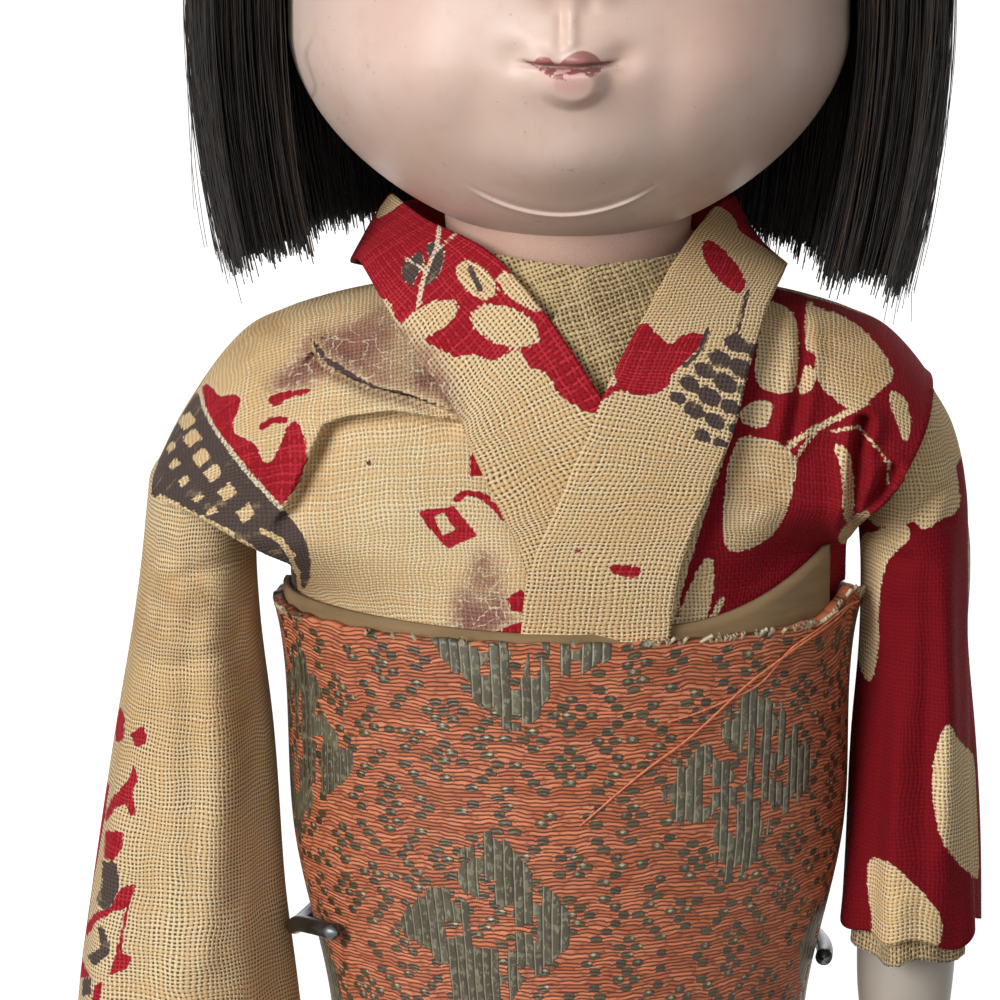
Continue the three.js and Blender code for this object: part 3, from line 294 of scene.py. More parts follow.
def grid_piece(name, points, finish, closed=False, uv=None, keep=None, marks=None, thick=0.0, flip=False):
    """A mesh from rows and columns of points. Closed joins the last column to the first."""
    rows, columns = points.shape[:2]
    index = np.arange(rows * columns).reshape(rows, columns)
    left = index if closed else index[:, :-1]
    right = np.roll(index, -1, axis=1) if closed else index[:, 1:]
    quads = np.stack([left[:-1], right[:-1], right[1:], left[1:]], axis=-1)
    keep = np.ones(quads.shape[:2], bool) if keep is None else keep
    quads = quads[keep]
    corners = None
    if uv is not None:
        corners = np.stack([uv[:-1, :-1], uv[:-1, 1:], uv[1:, 1:], uv[1:, :-1]], axis=2)[keep]
    if flip:
        quads = quads[:, ::-1]
        corners = None if corners is None else corners[:, ::-1]
    used, faces = np.unique(quads, return_inverse=True)
    marks = {label: np.asarray(values).reshape(-1)[used] for label, values in (marks or {}).items()}
    return mesh_piece(name, points.reshape(-1, 3)[used], faces.reshape(-1, 4), finish, corners, marks, thick)


def tubes(paths, radius, sides, taper=None):
    """Points and faces of thin tubes along paths, an array of tubes by steps by three numbers."""
    count, steps = paths.shape[:2]
    along = np.gradient(paths, axis=1)
    along /= np.linalg.norm(along, axis=2, keepdims=True) + 1e-9
    aside = np.cross(along, (0.31, 0.22, 0.93))
    aside /= np.linalg.norm(aside, axis=2, keepdims=True) + 1e-9
    across = np.cross(along, aside)
    turn = circle(sides)
    size = radius * (np.ones(steps) if taper is None else taper)
    ring = np.cos(turn)[:, None] * aside[:, :, None] + np.sin(turn)[:, None] * across[:, :, None]
    points = paths[:, :, None] + ring * np.reshape(size, (-1, steps, 1, 1))
    index = np.arange(count * steps * sides).reshape(count, steps, sides)
    around = np.roll(index, -1, axis=2)
    faces = np.stack([index[:, :-1], around[:, :-1], around[:, 1:], index[:, 1:]], axis=-1)
    return points.reshape(-1, 3), faces.reshape(-1, 4)


washi = mottled("mulberry paper", 0.9, WASHI_DARK, WASHI_LIGHT, (1, 1, 0.2), 0.9, 0.15)
steel = mottled("spring steel", 0.28, STEEL_DARK, STEEL_LIGHT, (0.2, 1, 1), 3.0, 0.02, metallic=1.0)
bag_depth = np.linspace(0, 1, 2 * BAG_PLEATS + 1)[:, None]
bag_turn = circle(48)
squareness = (np.abs(np.cos(bag_turn)) ** 8 + np.abs(np.sin(bag_turn)) ** 8) ** (-1 / 8)
pleat_in = BAG_PLEAT_DEPTH * (np.arange(2 * BAG_PLEATS + 1) % 2)[:, None]
bag_points = points_of((BAG_HALF_WIDTH - pleat_in) * squareness * np.cos(bag_turn),
                       BAG_FRONT_Y + (BAG_BACK_Y - BAG_FRONT_Y) * bag_depth,
                       SQUEAKER_Z + (BAG_HALF_HEIGHT - pleat_in) * squareness * np.sin(bag_turn))
bellows = grid_piece("squeaker_bag", bag_points, washi, closed=True)
coil_steps = np.linspace(0, COIL_TURNS * TURN, COIL_TURNS * 24)
coil_y = np.linspace(BAG_FRONT_Y + COIL_WIRE_RADIUS, BAG_BACK_Y - COIL_WIRE_RADIUS, len(coil_steps))
coil_path = points_of(COIL_RADIUS * np.cos(coil_steps), coil_y, SQUEAKER_Z + COIL_RADIUS * np.sin(coil_steps))
spring = mesh_piece("squeaker_coil", *tubes(coil_path[None], COIL_WIRE_RADIUS, 8), steel)
fit(bellows, "torso", "washi", "squeaker_bellows")
fit(spring, "torso", "spring_steel", "squeaker_spring")
for piece in (bellows, spring):
    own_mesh(piece)

# Legs: thighs of sewn cotton stuffed with rice straw and tied over the hip block, paper bands at the knees, and shins
# and feet of wood paste under shell white. They are hidden in the skirt, all but the feet.
LIMB_CLOTH_THREAD = 0xD9CFBB
LIMB_CLOTH_GAP = 0x8F826C
SHELL_WHITE = 0xDDBDAC
SHELL_WHITE_PALE = 0xE9D2C4
SHELL_WHITE_WARM = 0xCFA590
SHELL_WHITE_STAIN = 0x9C7B66
LIMB_SOIL = 0x8C8B80
SIDES = ((-1, "left"), (1, "right"))
LEG_X = 14.5
HIP_Z = 158.0
HIP_SADDLE_RADIUS = 17.4
THIGH_LEVELS = [78.3, 90, 102, 114, 126, 136, 144, 149]
THIGH_RADII = [10.4, 11.6, 12.4, 13.0, 13.3, 13.1, 12.6, 11.6]
SHIN_LEVELS = [6, 12, 18, 30, 45, 58, 68, 77.7]
SHIN_RADII = [7.6, 7.0, 7.0, 8.0, 9.6, 10.2, 10.2, 10.4]
FOOT_STATIONS = [-27, -26, -23, -18, -10, 0, 8, 12.5, 15]
FOOT_HALF_WIDTHS = [3.0, 6.0, 8.6, 9.5, 9.3, 8.4, 7.6, 6.0, 2.5]
FOOT_HEIGHTS = [2.5, 4.2, 5.6, 7.2, 10.5, 13.0, 13.0, 10.5, 5.0]
FOOT_FULLNESS = 2.4
TOES = 5
TOES_FROM_Y = -16
TOES_LENGTH = 6
TOE_DEPTH = 0.9


def flow(knots, values):
    """A smooth curve through values at rising knots, as a function of a number or an array."""
    knots = np.asarray(knots, float)
    values = np.asarray(values, float)
    slopes = np.gradient(values, knots, axis=0)

    def at(where):
        where = np.clip(np.asarray(where, float), knots[0], knots[-1])
        start = np.clip(np.searchsorted(knots, where) - 1, 0, len(knots) - 2)
        span = knots[start + 1] - knots[start]
        part = (where - knots[start]) / span
        if values.ndim == 2:
            span, part = span[..., None], part[..., None]
        ends = values[start] * (2 * part**3 - 3 * part**2 + 1) + values[start + 1] * (3 * part**2 - 2 * part**3)
        lean = slopes[start] * (part**3 - 2 * part**2 + part) + slopes[start + 1] * (part**3 - part**2)
        return ends + span * lean

    return at


def round_limb(levels, radii, rows, columns, x, y=0.0):
    """Rows of points round an upright piece, from a table of its radii."""
    z = np.linspace(levels[0], levels[-1], rows)[:, None]
    radius = flow(levels, radii)(z)
    angles = circle(columns)
    return points_of(x + radius * np.cos(angles), y + radius * np.sin(angles), z)


def thread_map(points, closed=True):
    """Thread places in millimetres for rows and columns of points: across the rows and along the columns."""
    grid = np.concatenate([points, points[:, :1]], axis=1) if closed else points
    steps = np.linalg.norm(np.diff(grid, axis=1), axis=2).mean(axis=0)
    across = np.concatenate([[0], np.cumsum(steps)])
    rises = np.linalg.norm(np.diff(grid, axis=0), axis=2).mean(axis=1)
    along = np.concatenate([[0], np.cumsum(rises)])
    return np.stack(np.broadcast_arrays(across[None, :], along[:, None]), axis=-1)


def white_noise(number):
    return add_node(number.tree, "ShaderNodeTexWhiteNoise", "Value", {"W": number}, noise_dimensions="1D")


def split(place):
    return all_outputs(add_node(place.tree, "ShaderNodeSeparateXYZ", 0, {0: place}))


def thread_place(tree):
    """The piece's thread map, in millimetres."""
    return add_node(tree, "ShaderNodeUVMap", 0, {}, uv_map="threads")


def weave_group():
    """Height, cover and thread number of an uneven plain weave, from a place in millimetres."""
    tree, (place, pitch, width) = open_group("plain weave", {"Place": "Vector", "Pitch": "Float", "Thread": "Float"},
                                             {"Height": "Float", "Cover": "Float", "Strand": "Float"})
    wander = split(noise(place, 0.16, 2, "Color"))
    axes = split(place)
    across = (axes[0] + (wander[0] - 0.5) * 1.6) / pitch
    along = (axes[1] + (wander[1] - 0.5) * 1.6) / pitch
    number = [across.floor(), along.floor()]
    chances = [white_noise(number[0]), white_noise(number[1] + 37.3)]
    offset = [across.off_middle() * 2, along.off_middle() * 2]
    profiles = []
    for away, luck in zip(offset, chances):
        edge = away / (width * (luck * 0.5 + 0.75))
        profiles.append((1 - edge * edge).at_least(0).math("SQRT"))
    over = (abs((number[0] + number[1]).math("MODULO", 2)) - 0.5) * 2
    warp = profiles[0] * (over * (1 - offset[1] * offset[1]) * 0.42 + 0.55)
    weft = profiles[1] * (over * (1 - offset[0] * offset[0]) * -0.42 + 0.55)
    cover = profiles[0].at_least(profiles[1]).rise(0.0, 0.55)
    strand = chances[1] + (chances[0] - chances[1]) * warp.over(weft)
    return close_group(tree, warp.at_least(weft), cover, strand)


weave = weave_group()


def plain_cloth(name, thread, gap, pitch, width, roughness):
    """Undyed cloth: threads of one colour over the dark of the gaps, with painted shade where the threads dip."""
    made, tree, shader = material(name, roughness)
    place = thread_place(tree)
    height, cover, strand = placed(weave, tree, place, pitch, width)
    age = noise(place, 0.05, 4)
    tone = tint((strand * 0.5 + age * 0.6).rise(0.2, 0.9), gap, thread)
    # Painted shade: each thread darkens toward the gap colour where it dips under the crossing threads.
    wear_and_shade = tint((height * 0.7 + 0.45).at_most(1), gap, tint(strand * 0.35 + 0.65, tone, thread))
    plug(shader.inputs["Base Color"], tint(cover, gap, wear_and_shade))
    plug(shader.inputs["Sheen Weight"], 0.15)
    relief(shader, height, 0.22, 0.7)
    return made


def shell_white_group():
    """Powdered shell in glue over wood paste: satin, a little mottled, with fine specks."""
    tree, (place,) = open_group("shell white", {"Place": "Vector"},
                                {"Colour": "Color", "Roughness": "Float", "Height": "Float"})
    patch = noise(place, 0.35, 4)
    colour = tint(noise(place, 0.045, 3).rise(0.3, 0.7), SHELL_WHITE, SHELL_WHITE_PALE)
    colour = tint(patch.rise(0.5, 0.75) * 0.25, colour, SHELL_WHITE_WARM)
    colour = tint(noise(place, 0.9, 1).rise(0.74, 0.79) * 0.35, colour, SHELL_WHITE_STAIN)
    return close_group(tree, colour, patch * 0.16 + 0.34, patch * 0.6 + noise(place, 4.0, 3) * 0.4)


shell_coat = shell_white_group()


def shell_white(name):
    """A finish of shell white whose colour is still to be plugged in."""
    made, tree, shader = material(name, 0.42)
    colour, roughness, height = placed(shell_coat, tree, place_on_piece(tree))
    plug(shader.inputs["Roughness"], roughness)
    relief(shader, height, 0.06, 0.5)
    return made, tree, shader, colour


def capped(points):
    """Rows of a closed piece with its two open ends drawn in to points."""
    ends = [ring.mean(axis=0) + np.reshape(shares, (2, 1, 1)) * (ring - ring.mean(axis=0))
            for ring, shares in ((points[0], (0.01, 0.6)), (points[-1], (0.6, 0.01)))]
    return np.concatenate([ends[0], points, ends[1]])


limb_cloth = plain_cloth("sewn cotton", LIMB_CLOTH_THREAD, LIMB_CLOTH_GAP, 0.45, 0.9, 0.9)
limb_white, limb_tree, limb_shader, limb_colour = shell_white("shell white on limbs")
limb_soil = noise(place_on_piece(limb_tree), 0.06, 4) * 0.5 + 0.5
plug(limb_shader.inputs["Base Color"], tint(limb_soil, limb_colour, LIMB_SOIL))
finish_cad(washi, "washi", "knee_band_left", "knee_band_right", "elbow_band_left", "elbow_band_right")
foot_half_width = flow(FOOT_STATIONS, FOOT_HALF_WIDTHS)
foot_height = flow(FOOT_STATIONS, FOOT_HEIGHTS)
for side, where in SIDES:
    thigh_points = round_limb(THIGH_LEVELS, THIGH_RADII, 26, 36, side * LEG_X)
    saddle = HIP_Z - np.sqrt(np.maximum(HIP_SADDLE_RADIUS**2 - thigh_points[..., 1] ** 2, 0))
    thigh_points[..., 2] = np.minimum(thigh_points[..., 2], saddle)
    thigh = grid_piece(f"stuffed_thigh_{where}", thigh_points, limb_cloth, closed=True, uv=thread_map(thigh_points))
    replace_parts(thigh, f"thigh_{where}")
    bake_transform(thigh)

    shin_points = round_limb(SHIN_LEVELS, SHIN_RADII, 30, 32, side * LEG_X)
    shin = grid_piece(f"shell_white_shin_{where}", shin_points, limb_white, closed=True)
    stations = np.linspace(FOOT_STATIONS[0], FOOT_STATIONS[-1], 64)[:, None]
    over = np.linspace(-1, 1, 60)[None, :]
    rise = foot_height(stations) * (1 - np.abs(over) ** FOOT_FULLNESS) ** (1 / FOOT_FULLNESS)
    toe_front = np.clip((TOES_FROM_Y - stations) / TOES_LENGTH, 0, 1)
    rise = rise - TOE_DEPTH * toe_front * np.abs(np.cos(TOES * math.pi / 2 * (over + 1))) ** 6
    foot_points = points_of(side * LEG_X + foot_half_width(stations) * over, stations, np.maximum(rise, 0))
    sole = foot_points[:, ::-1].copy()
    sole[..., 2] = 0
    foot_points = np.concatenate([foot_points, sole[:, 1:-1]], axis=1)
    foot = grid_piece(f"shell_white_foot_{where}", capped(foot_points), limb_white, closed=True, flip=True)
    fit(shin, f"{where}_leg", "shell_white", f"shin_{where}")
    fit(foot, f"{where}_leg", "shell_white")

# Kimono skirt: the lower half of one coarse plain-woven hemp garment, printed in crimson, mauve and slate on straw,
# and wrapped right over left round both legs. It hangs from under the obi.
STRAW_THREAD = 0xFBE4B8
STRAW_SHADE = 0xE2BE8A
STRAW_GAP = 0x6B4826
STAIN_AND_SHADE_THREAD = 0xB98A5C
CRIMSON_THREAD = 0xC8303C
CRIMSON_SHADE = 0x9C1824
CRIMSON_PAINTED_SHADE = 0x7A0A16
CRIMSON_GAP = 0x560A12
MAUVE_THREAD = 0x8F5A54
SLATE_THREAD = 0x453A3D
PALE_THREAD = 0xEADBC2
PLUM_GAP = 0x2E1F22
KIMONO_PITCH = 0.50
KIMONO_THREAD = 0.64
KIMONO_THICKNESS = 0.5
PRINT_COLOURS = ("red", "slate", "mauve", "pale")
SKIRT_LEVELS = [19.5, 60, 93, 130, 166, 190, 205, 213.4]
SKIRT_HALF_WIDTHS = [29.4, 29.0, 29.4, 30.0, 30.2, 28.6, 26.6, 25.2]
SKIRT_HALF_DEPTHS = [27.4, 27.2, 27.4, 27.8, 28.0, 25.2, 22.6, 21.2]
SKIRT_EDGE_ANGLE = math.radians(-112)
SKIRT_OVERLAP_ANGLE = math.radians(26)
SKIRT_FOLD = 0.9
SKIRT_LAP = 1.1
SKIRT_HANGS_FROM_Z = 170
SKIRT_HANGS_TO_Z = 20
SKIRT_SET_IN = 0.5
BLOSSOM_WIDTH = 30
BLOSSOM_HEIGHT = 27
BLOSSOM_RADIUS = 8.5


def ease(value, low, high):
    part = np.clip((np.asarray(value, float) - low) / (high - low), 0, 1)
    return part * part * (3 - 2 * part)


def mark(tree, name):
    """A named number of the mesh's points."""
    return add_node(tree, "ShaderNodeAttribute", "Fac", {}, attribute_name=name)


def kimono_cloth():
    """Hemp threads that carry the print. Openness is how dark the holes between the threads are."""
    made, tree, shader = material("printed hemp", 0.88)
    place = thread_place(tree)
    height, cover, strand = placed(weave, tree, place, KIMONO_PITCH, KIMONO_THREAD)
    age = noise(place, 0.035, 4)
    rubbed = noise(place, 0.4, 4)
    fray = (strand - 0.5) * 0.2 + (noise(place, 1.3, 2) - 0.5) * 0.45
    depths = [mark(tree, name) + fray for name in PRINT_COLOURS]
    red, slate, mauve, pale = [depth.rise(-soft, soft) for depth, soft in zip(depths, (0.07, 0.07, 1.5, 0.07))]
    outline = depths[0].rise(-0.36, -0.26) * (1 - red) * 0.3
    bent = place.moved(noise(place, 0.3, 3, "Color").stretched((6, 6, 0)))
    from_crack = add_node(tree, "ShaderNodeTexVoronoi", "Distance", {"Scale": 0.42, "Vector": bent},
                          feature="DISTANCE_TO_EDGE")
    crack = (0.055 - from_crack).rise(0, 0.04) * rubbed.rise(0.38, 0.5)
    mauve = mauve * (noise(place, 0.16, 3).rise(0.25, 0.6) * 0.55 + 0.35)
    slate = slate * (rubbed.rise(0.25, 0.45) * 0.3 + 0.65)
    thread = tint((strand * 0.45 + age * 0.8).rise(0.3, 0.95), STRAW_THREAD, STRAW_SHADE)
    # Browns the straw for stains, and as painted shade under the lower fold, on the left sleeve's inner edge and on the
    # right bodice.
    thread = tint(mark(tree, "stain_and_shade") * noise(place, 0.2, 4).rise(0.3, 0.7) * 0.5, thread, STAIN_AND_SHADE_THREAD)
    thread = tint(mauve, thread, tint(crack * 0.75, MAUVE_THREAD, PALE_THREAD))
    crimson = tint((strand * 0.7 + age * 0.4).rise(0.2, 0.9), CRIMSON_THREAD, CRIMSON_SHADE)
    # Painted shade: the crimson of the right-hand bodice and sleeve is darkened.
    crimson = tint(mark(tree, "deep"), crimson, CRIMSON_PAINTED_SHADE)
    thread = tint(red, tint(outline, thread, PALE_THREAD), crimson)
    thread = tint(slate, thread, SLATE_THREAD)
    thread = tint(pale, thread, PALE_THREAD)
    inked = red.at_least(slate).at_least(mauve)
    hole = tint(red, tint(slate.at_least(mauve), STRAW_GAP, PLUM_GAP), CRIMSON_GAP)
    gap = tint(mark(tree, "open") * (1 - inked * 0.4), tint(strand * 0.3 + 0.45, hole, thread), hole)
    lit = tint((height * 0.55 + 0.5).at_most(1), gap, thread)
    plug(shader.inputs["Base Color"], tint(cover, gap, lit))
    plug(shader.inputs["Specular IOR Level"], 0.15)
    relief(shader, height, 0.22, 0.55)
    return made


def scattered_print(across, along):
    """The print where the photo doesn't show it: drifts of red, straw blossoms of five petals and slate leaves."""
    drift = np.sin(across / 7.5 + 1.3 * np.sin(along / 13)) + np.sin(along / 9.5 + 0.8 * np.sin(across / 17))
    red = 4 * drift + 1.5
    row = np.floor(along / BLOSSOM_HEIGHT)
    beside = (across + BLOSSOM_WIDTH / 2 * (row % 2)) / BLOSSOM_WIDTH
    left = (beside - np.floor(beside) - 0.5) * BLOSSOM_WIDTH
    up = (along / BLOSSOM_HEIGHT - row - 0.5) * BLOSSOM_HEIGHT
    away = np.hypot(left, up)
    petals = BLOSSOM_RADIUS * (0.66 + 0.34 * np.abs(np.cos(2.5 * np.arctan2(up, left)))) - away
    red = np.maximum(np.minimum(red, -petals), 1.5 - away)
    leaf = 2.2 - np.hypot((left - 9) * 0.35 + (up + 9) * 0.25, (up + 9) * 0.9 - (left - 9) * 0.5)
    mauve = 5 * (np.sin(across / 11 + 2) * np.sin(along / 15 + 1) - 0.45)
    return {"red": red, "slate": np.minimum(leaf, -petals), "mauve": mauve, "pale": np.full(red.shape, -9.0)}


kimono = kimono_cloth()
skirt_width = flow(SKIRT_LEVELS, SKIRT_HALF_WIDTHS)
skirt_depth = flow(SKIRT_LEVELS, SKIRT_HALF_DEPTHS)
turned = np.linspace(0, TURN + SKIRT_OVERLAP_ANGLE, 220)[None, :]
skirt_angle = SKIRT_EDGE_ANGLE + turned
skirt_z = np.linspace(SKIRT_LEVELS[0], SKIRT_LEVELS[-1], 120)[:, None]
hang = ease(SKIRT_HANGS_FROM_Z - skirt_z, 0, SKIRT_HANGS_FROM_Z - SKIRT_HANGS_TO_Z)
lapped = SKIRT_LAP * (1 - ease(turned, 0.1, 0.9))
pleats = SKIRT_FOLD * hang * (np.cos(6 * skirt_angle + 0.4) + 0.5 * np.cos(11 * skirt_angle + skirt_z / 60))
lean_out = lapped + pleats - SKIRT_SET_IN
skirt_points = points_of((skirt_width(skirt_z) + lean_out) * np.cos(skirt_angle),
                         (skirt_depth(skirt_z) + lean_out) * np.sin(skirt_angle),
                         skirt_z + 0.4 * hang * np.sin(3 * skirt_angle))
skirt_uv = thread_map(skirt_points, closed=False)
skirt_marks = {**scattered_print(skirt_uv[..., 0], skirt_uv[..., 1]), "open": np.full(skirt_uv.shape[:2], 0.6)}
skirt = grid_piece("wrapped_skirt", skirt_points, kimono, uv=skirt_uv, marks=skirt_marks, thick=KIMONO_THICKNESS)
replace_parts(skirt, "kimono_skirt")
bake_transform(skirt)

# Kimono bodice: two body widths of the same hemp, each running from the obi up the front, over the shoulder and down
# the back, sewn at the back seam. Their shoulder ends hang over the tops of the sleeves, and folds run in from the
# armholes.
CAMERA_DISTANCE = 700.0
CAMERA_PITCH = math.radians(12)
CAMERA_AIM = (-8.0, 0.0, 279.0)
FOCAL_PIXELS = 5932.0
PHOTO_MIDDLE = 500.0
MM_PER_PIXEL = 0.118
BODY_LEVELS = [194, 215, 240, 264, 281, 296, 303]
BODY_HALF_WIDTHS = [26.0, 24.0, 28.6, 30.0, 34.0, 31.0, 21.3]
BODY_HALF_DEPTHS = [20.5, 20.0, 21.0, 21.5, 19.5, 18.5, 18.6]
BODICE_OUT = 0.9
BODICE_BOTTOM_Z = 213.8
SHOULDER_REACH = 48.6
YOKE_HALF_WIDTH = 56.0
YOKE_FULLNESS = 2.3
ARMHOLE_BOTTOM_Z = 267.0
LEFT_EDGE_X = [32.4, 36, 42, 48.6]
LEFT_EDGE_Z = [274.8, 276.5, 279.6, 281.8]
RIGHT_EDGE_Z = [266, 276.5, 281, 283.8, 289.4, 293.6, 297]
RIGHT_EDGE_X = [33, 33, 34.8, 37.3, 41, 42.6, 43.5]
NECK_HOLE_RADIUS = 21.5
NECK_HOLE_PIXELS = [(385, 215), (455, 280), (520, 345), (575, 425), (600, 450), (650, 390), (690, 320), (735, 235),
                    (760, 120), (360, 120)]
UPPER_FOLD = [(296, 372), (312, 352), (333, 370), (370, 386), (409, 395), (458, 413)]
LOWER_FOLD = [(268, 530), (288, 505), (310, 459), (326, 424), (348, 416), (393, 411), (452, 421)]
FOLDS_END = (442, 476)
LAPPED_FOLDS = [(LOWER_FOLD, 1.8, 10, 1.6, 16), (UPPER_FOLD, 1.5, 16, 2.2, 6)]
SUNK_FOLDS = [([(864, 422), (858, 450), (855, 500), (850, 522)], 2.4), ([(892, 470), (872, 500), (852, 544)], 1.6),
              ([(800, 300), (804, 350), (798, 400), (790, 440)], 1.2)]
YOKE_LEAVES_Z = {"left": (266, 2.5), "right": (267, 8.0)}
# For each body width: how open the weave is, and how much painted shade darkens its crimson.
BODICE_CLOTH = {"left": (0.45, 0), "right": (0.8, 0.75)}
NECK_HOLE_BOTTOM_Z = 298
BODICE_PRINT = [
    ("mauve", "area", [(258, 392), (296, 358), (306, 332), (349, 326), (385, 300), (420, 330), (450, 380), (466, 414),
     (409, 400), (360, 390), (330, 374), (297, 392)]),
    ("mauve", "area", [(446, 640), (452, 600), (470, 575), (478, 545), (500, 560), (505, 600), (520, 640)]),
    # Painted shadow: a thin dark line drawn in slate along the crease of the upper fold.
    ("slate", "patch", [(309, 337), (317, 343), (326, 356), (336, 362), (352, 373), (372, 384), (409, 394),
     (440, 404), (457, 413), (440, 406), (409, 396.5), (372, 387.5), (350, 378.5), (337, 371), (327, 364),
     (317, 352)]),
    ("slate", "tile", [(369, 463)], (2.2, 2.2), 0.6),
    ("red", "area", [(202, 383), (211, 385), (219, 398), (232, 393), (242, 398), (238, 410), (230, 433), (255, 442),
     (263, 463), (270, 465), (282, 442), (288, 423), (299, 419), (311, 461), (286, 504), (277, 507), (242, 467),
     (213, 427), (202, 402)]),
    ("red", "area", [(266, 398), (284, 391), (314, 388), (307, 395), (286, 398), (276, 410)]),
    ("red", "line", [(262, 427), (272, 420), (285, 420)], 3.0),
    ("slate", "area", [(198, 386), (202, 408), (232, 450), (284, 509), (312, 546), (309, 592), (285, 585), (251, 540),
     (228, 538), (150, 505), (145, 475), (172, 424)]),
    ("tan", "line", [(160, 500), (192, 517), (230, 536)], 5.5),
    ("tan", "tile", [(187, 421), (192, 438), (201, 457), (213, 473), (227, 492), (246, 513)], (6.5, 8.0), 0.95),
    ("tan", "tile", [(171, 447), (174, 464), (184, 481), (198, 498), (212, 511)], (3.2, 5.5), 0.95),
    ("tan", "line", [(262, 531), (279, 539), (292, 556)], 3.0),
    ("tan", "line", [(292, 560), (298, 575), (300, 590)], 2.5),
    ("pale", "line", [(200, 390), (204, 408), (214, 428), (243, 468), (281, 509)], 1.6),
    ("red", "patch", [(473, 446), (485, 474), (470, 478), (470, 458)]),
    ("red", "line", [(457, 499), (468, 492), (482, 496), (496, 508), (503, 518)], 3.4),
    ("red", "patch", [(416, 511), (454, 506), (478, 536), (446, 549)]),
    ("tan", "patch", [(434, 517), (443, 513), (456, 530), (442, 535)]),
    ("red", "patch", [(506, 598), (521, 590), (536, 606), (546, 620), (580, 626), (590, 645), (553, 645), (531, 618),
     (512, 610)]),
    ("red", "patch", [(492, 634), (529, 618), (533, 626), (513, 645), (495, 645)]),
    ("red", "area", [(705, 200), (760, 240), (860, 290), (930, 330), (960, 420), (930, 560), (860, 600), (760, 660),
     (665, 660), (690, 560), (730, 440), (760, 330)]),
    ("tan", "area", [(767, 300), (780, 303), (800, 318), (797, 387), (786, 396), (752, 387), (760, 328)]),
    ("tan", "area", [(806, 296), (818, 309), (840, 313), (873, 336), (897, 374), (885, 388), (866, 403), (851, 413),
     (821, 388), (814, 370), (817, 352), (804, 352)]),
    ("tan", "area", [(804, 362), (816, 368), (814, 388), (797, 399)]),
    ("tan", "area", [(742, 404), (770, 398), (774, 412), (764, 430), (740, 424)]),
    ("tan", "area", [(738, 434), (764, 438), (784, 445), (796, 458), (795, 482), (785, 519), (765, 543), (734, 554),
     (722, 546), (726, 471)]),
    ("tan", "line", [(788, 446), (813, 430), (866, 403)], 3.2),
    ("tan", "line", [(794, 464), (806, 442), (816, 432)], 1.8),
    ("tan", "line", [(832, 431), (859, 427), (876, 446), (889, 464), (888, 482)], 1.8),
    ("tan", "area", [(886, 390), (904, 392), (913, 425), (906, 448), (897, 424)]),
    ("tan", "area", [(830, 442), (852, 448), (856, 520), (842, 522), (843, 467)]),
    ("tan", "area", [(832, 538), (868, 504), (874, 521), (853, 550)]),
    ("tan", "area", [(668, 640), (700, 560), (716, 556), (712, 610), (690, 650)]),
    ("tan", "line", [(722, 600), (708, 625), (696, 650)], 3.0),
]
# Ovals browned on the front: stains, and painted shade in the strip under the lower fold and over the right-hand side.
BODICE_STAINS_AND_SHADE = [((255, 335), (60, 60), 0.3), ((318, 470), (24, 60), 0.35), ((840, 500), (60, 60), 0),
                 ((768, 480), (70, 120), 0.1), ((850, 350), (70, 70), 0)]
camera_sin = math.sin(CAMERA_PITCH)
camera_cos = math.cos(CAMERA_PITCH)


def photo_place(points):
    """Pixels of the photo where points of the doll land."""
    x, y, z = np.moveaxis(np.asarray(points, float), -1, 0)
    rise = z - CAMERA_AIM[2]
    depth = CAMERA_DISTANCE + y * camera_cos - rise * camera_sin
    px = PHOTO_MIDDLE + FOCAL_PIXELS * (x - CAMERA_AIM[0]) / depth
    py = PHOTO_MIDDLE - FOCAL_PIXELS * (y * camera_sin + rise * camera_cos) / depth
    return px, py


def rounded(corners):
    """An outline with its corners cut twice, so that it reads as a drawn curve."""
    for _ in range(2):
        after = np.roll(corners, -1, axis=0)
        corners = np.stack([0.75 * corners + 0.25 * after, 0.25 * corners + 0.75 * after], axis=1).reshape(-1, 2)
    return corners


def edge_distance(px, py, start, end):
    """How far a place is from a straight edge."""
    right, down = px - start[0], py - start[1]
    ex, ey = end[0] - start[0], end[1] - start[1]
    part = np.clip((right * ex + down * ey) / (ex * ex + ey * ey + 1e-9), 0, 1)
    return np.hypot(right - part * ex, down - part * ey)


def patch_depth(px, py, corners):
    """How many pixels inside an outline a place is, below zero outside it."""
    nearest = np.full(px.shape, np.inf)
    inside = np.zeros(px.shape, bool)
    for (ax, ay), (bx, by) in zip(corners, np.roll(corners, -1, axis=0)):
        nearest = np.minimum(nearest, edge_distance(px, py, (ax, ay), (bx, by)))
        crossing = (ay > py) != (by > py)
        inside ^= crossing & (px < ax + (py - ay) * (bx - ax) / (by - ay or 1e-9))
    return np.where(inside, nearest, -nearest)


def area_depth(px, py, outline):
    return patch_depth(px, py, rounded(np.asarray(outline, float)))


def route_distance(px, py, route):
    """How far a place is from a drawn line, and on which side: above zero to the right of its direction."""
    nearest = np.full(px.shape, np.inf)
    side = np.zeros(px.shape)
    for (ax, ay), (bx, by) in zip(route, route[1:]):
        away = edge_distance(px, py, (ax, ay), (bx, by))
        side = np.where(away < nearest, np.sign((bx - ax) * (py - ay) - (by - ay) * (px - ax)), side)
        nearest = np.minimum(nearest, away)
    return nearest, side


def line_depth(px, py, route, half_width):
    return half_width - route_distance(px, py, route)[0]


def turned_place(px, py, middle, turn):
    """A place as it is along and across a turned shape."""
    right, down = px - middle[0], py - middle[1]
    return right * math.cos(turn) + down * math.sin(turn), down * math.cos(turn) - right * math.sin(turn)


def tile_depth(px, py, middles, half_sizes, turn):
    """Depth inside a row of turned rectangles."""
    depth = np.full(px.shape, -99.0)
    for middle in middles:
        along, across = turned_place(px, py, middle, turn)
        depth = np.maximum(depth, np.minimum(half_sizes[0] - np.abs(along), half_sizes[1] - np.abs(across)))
    return depth


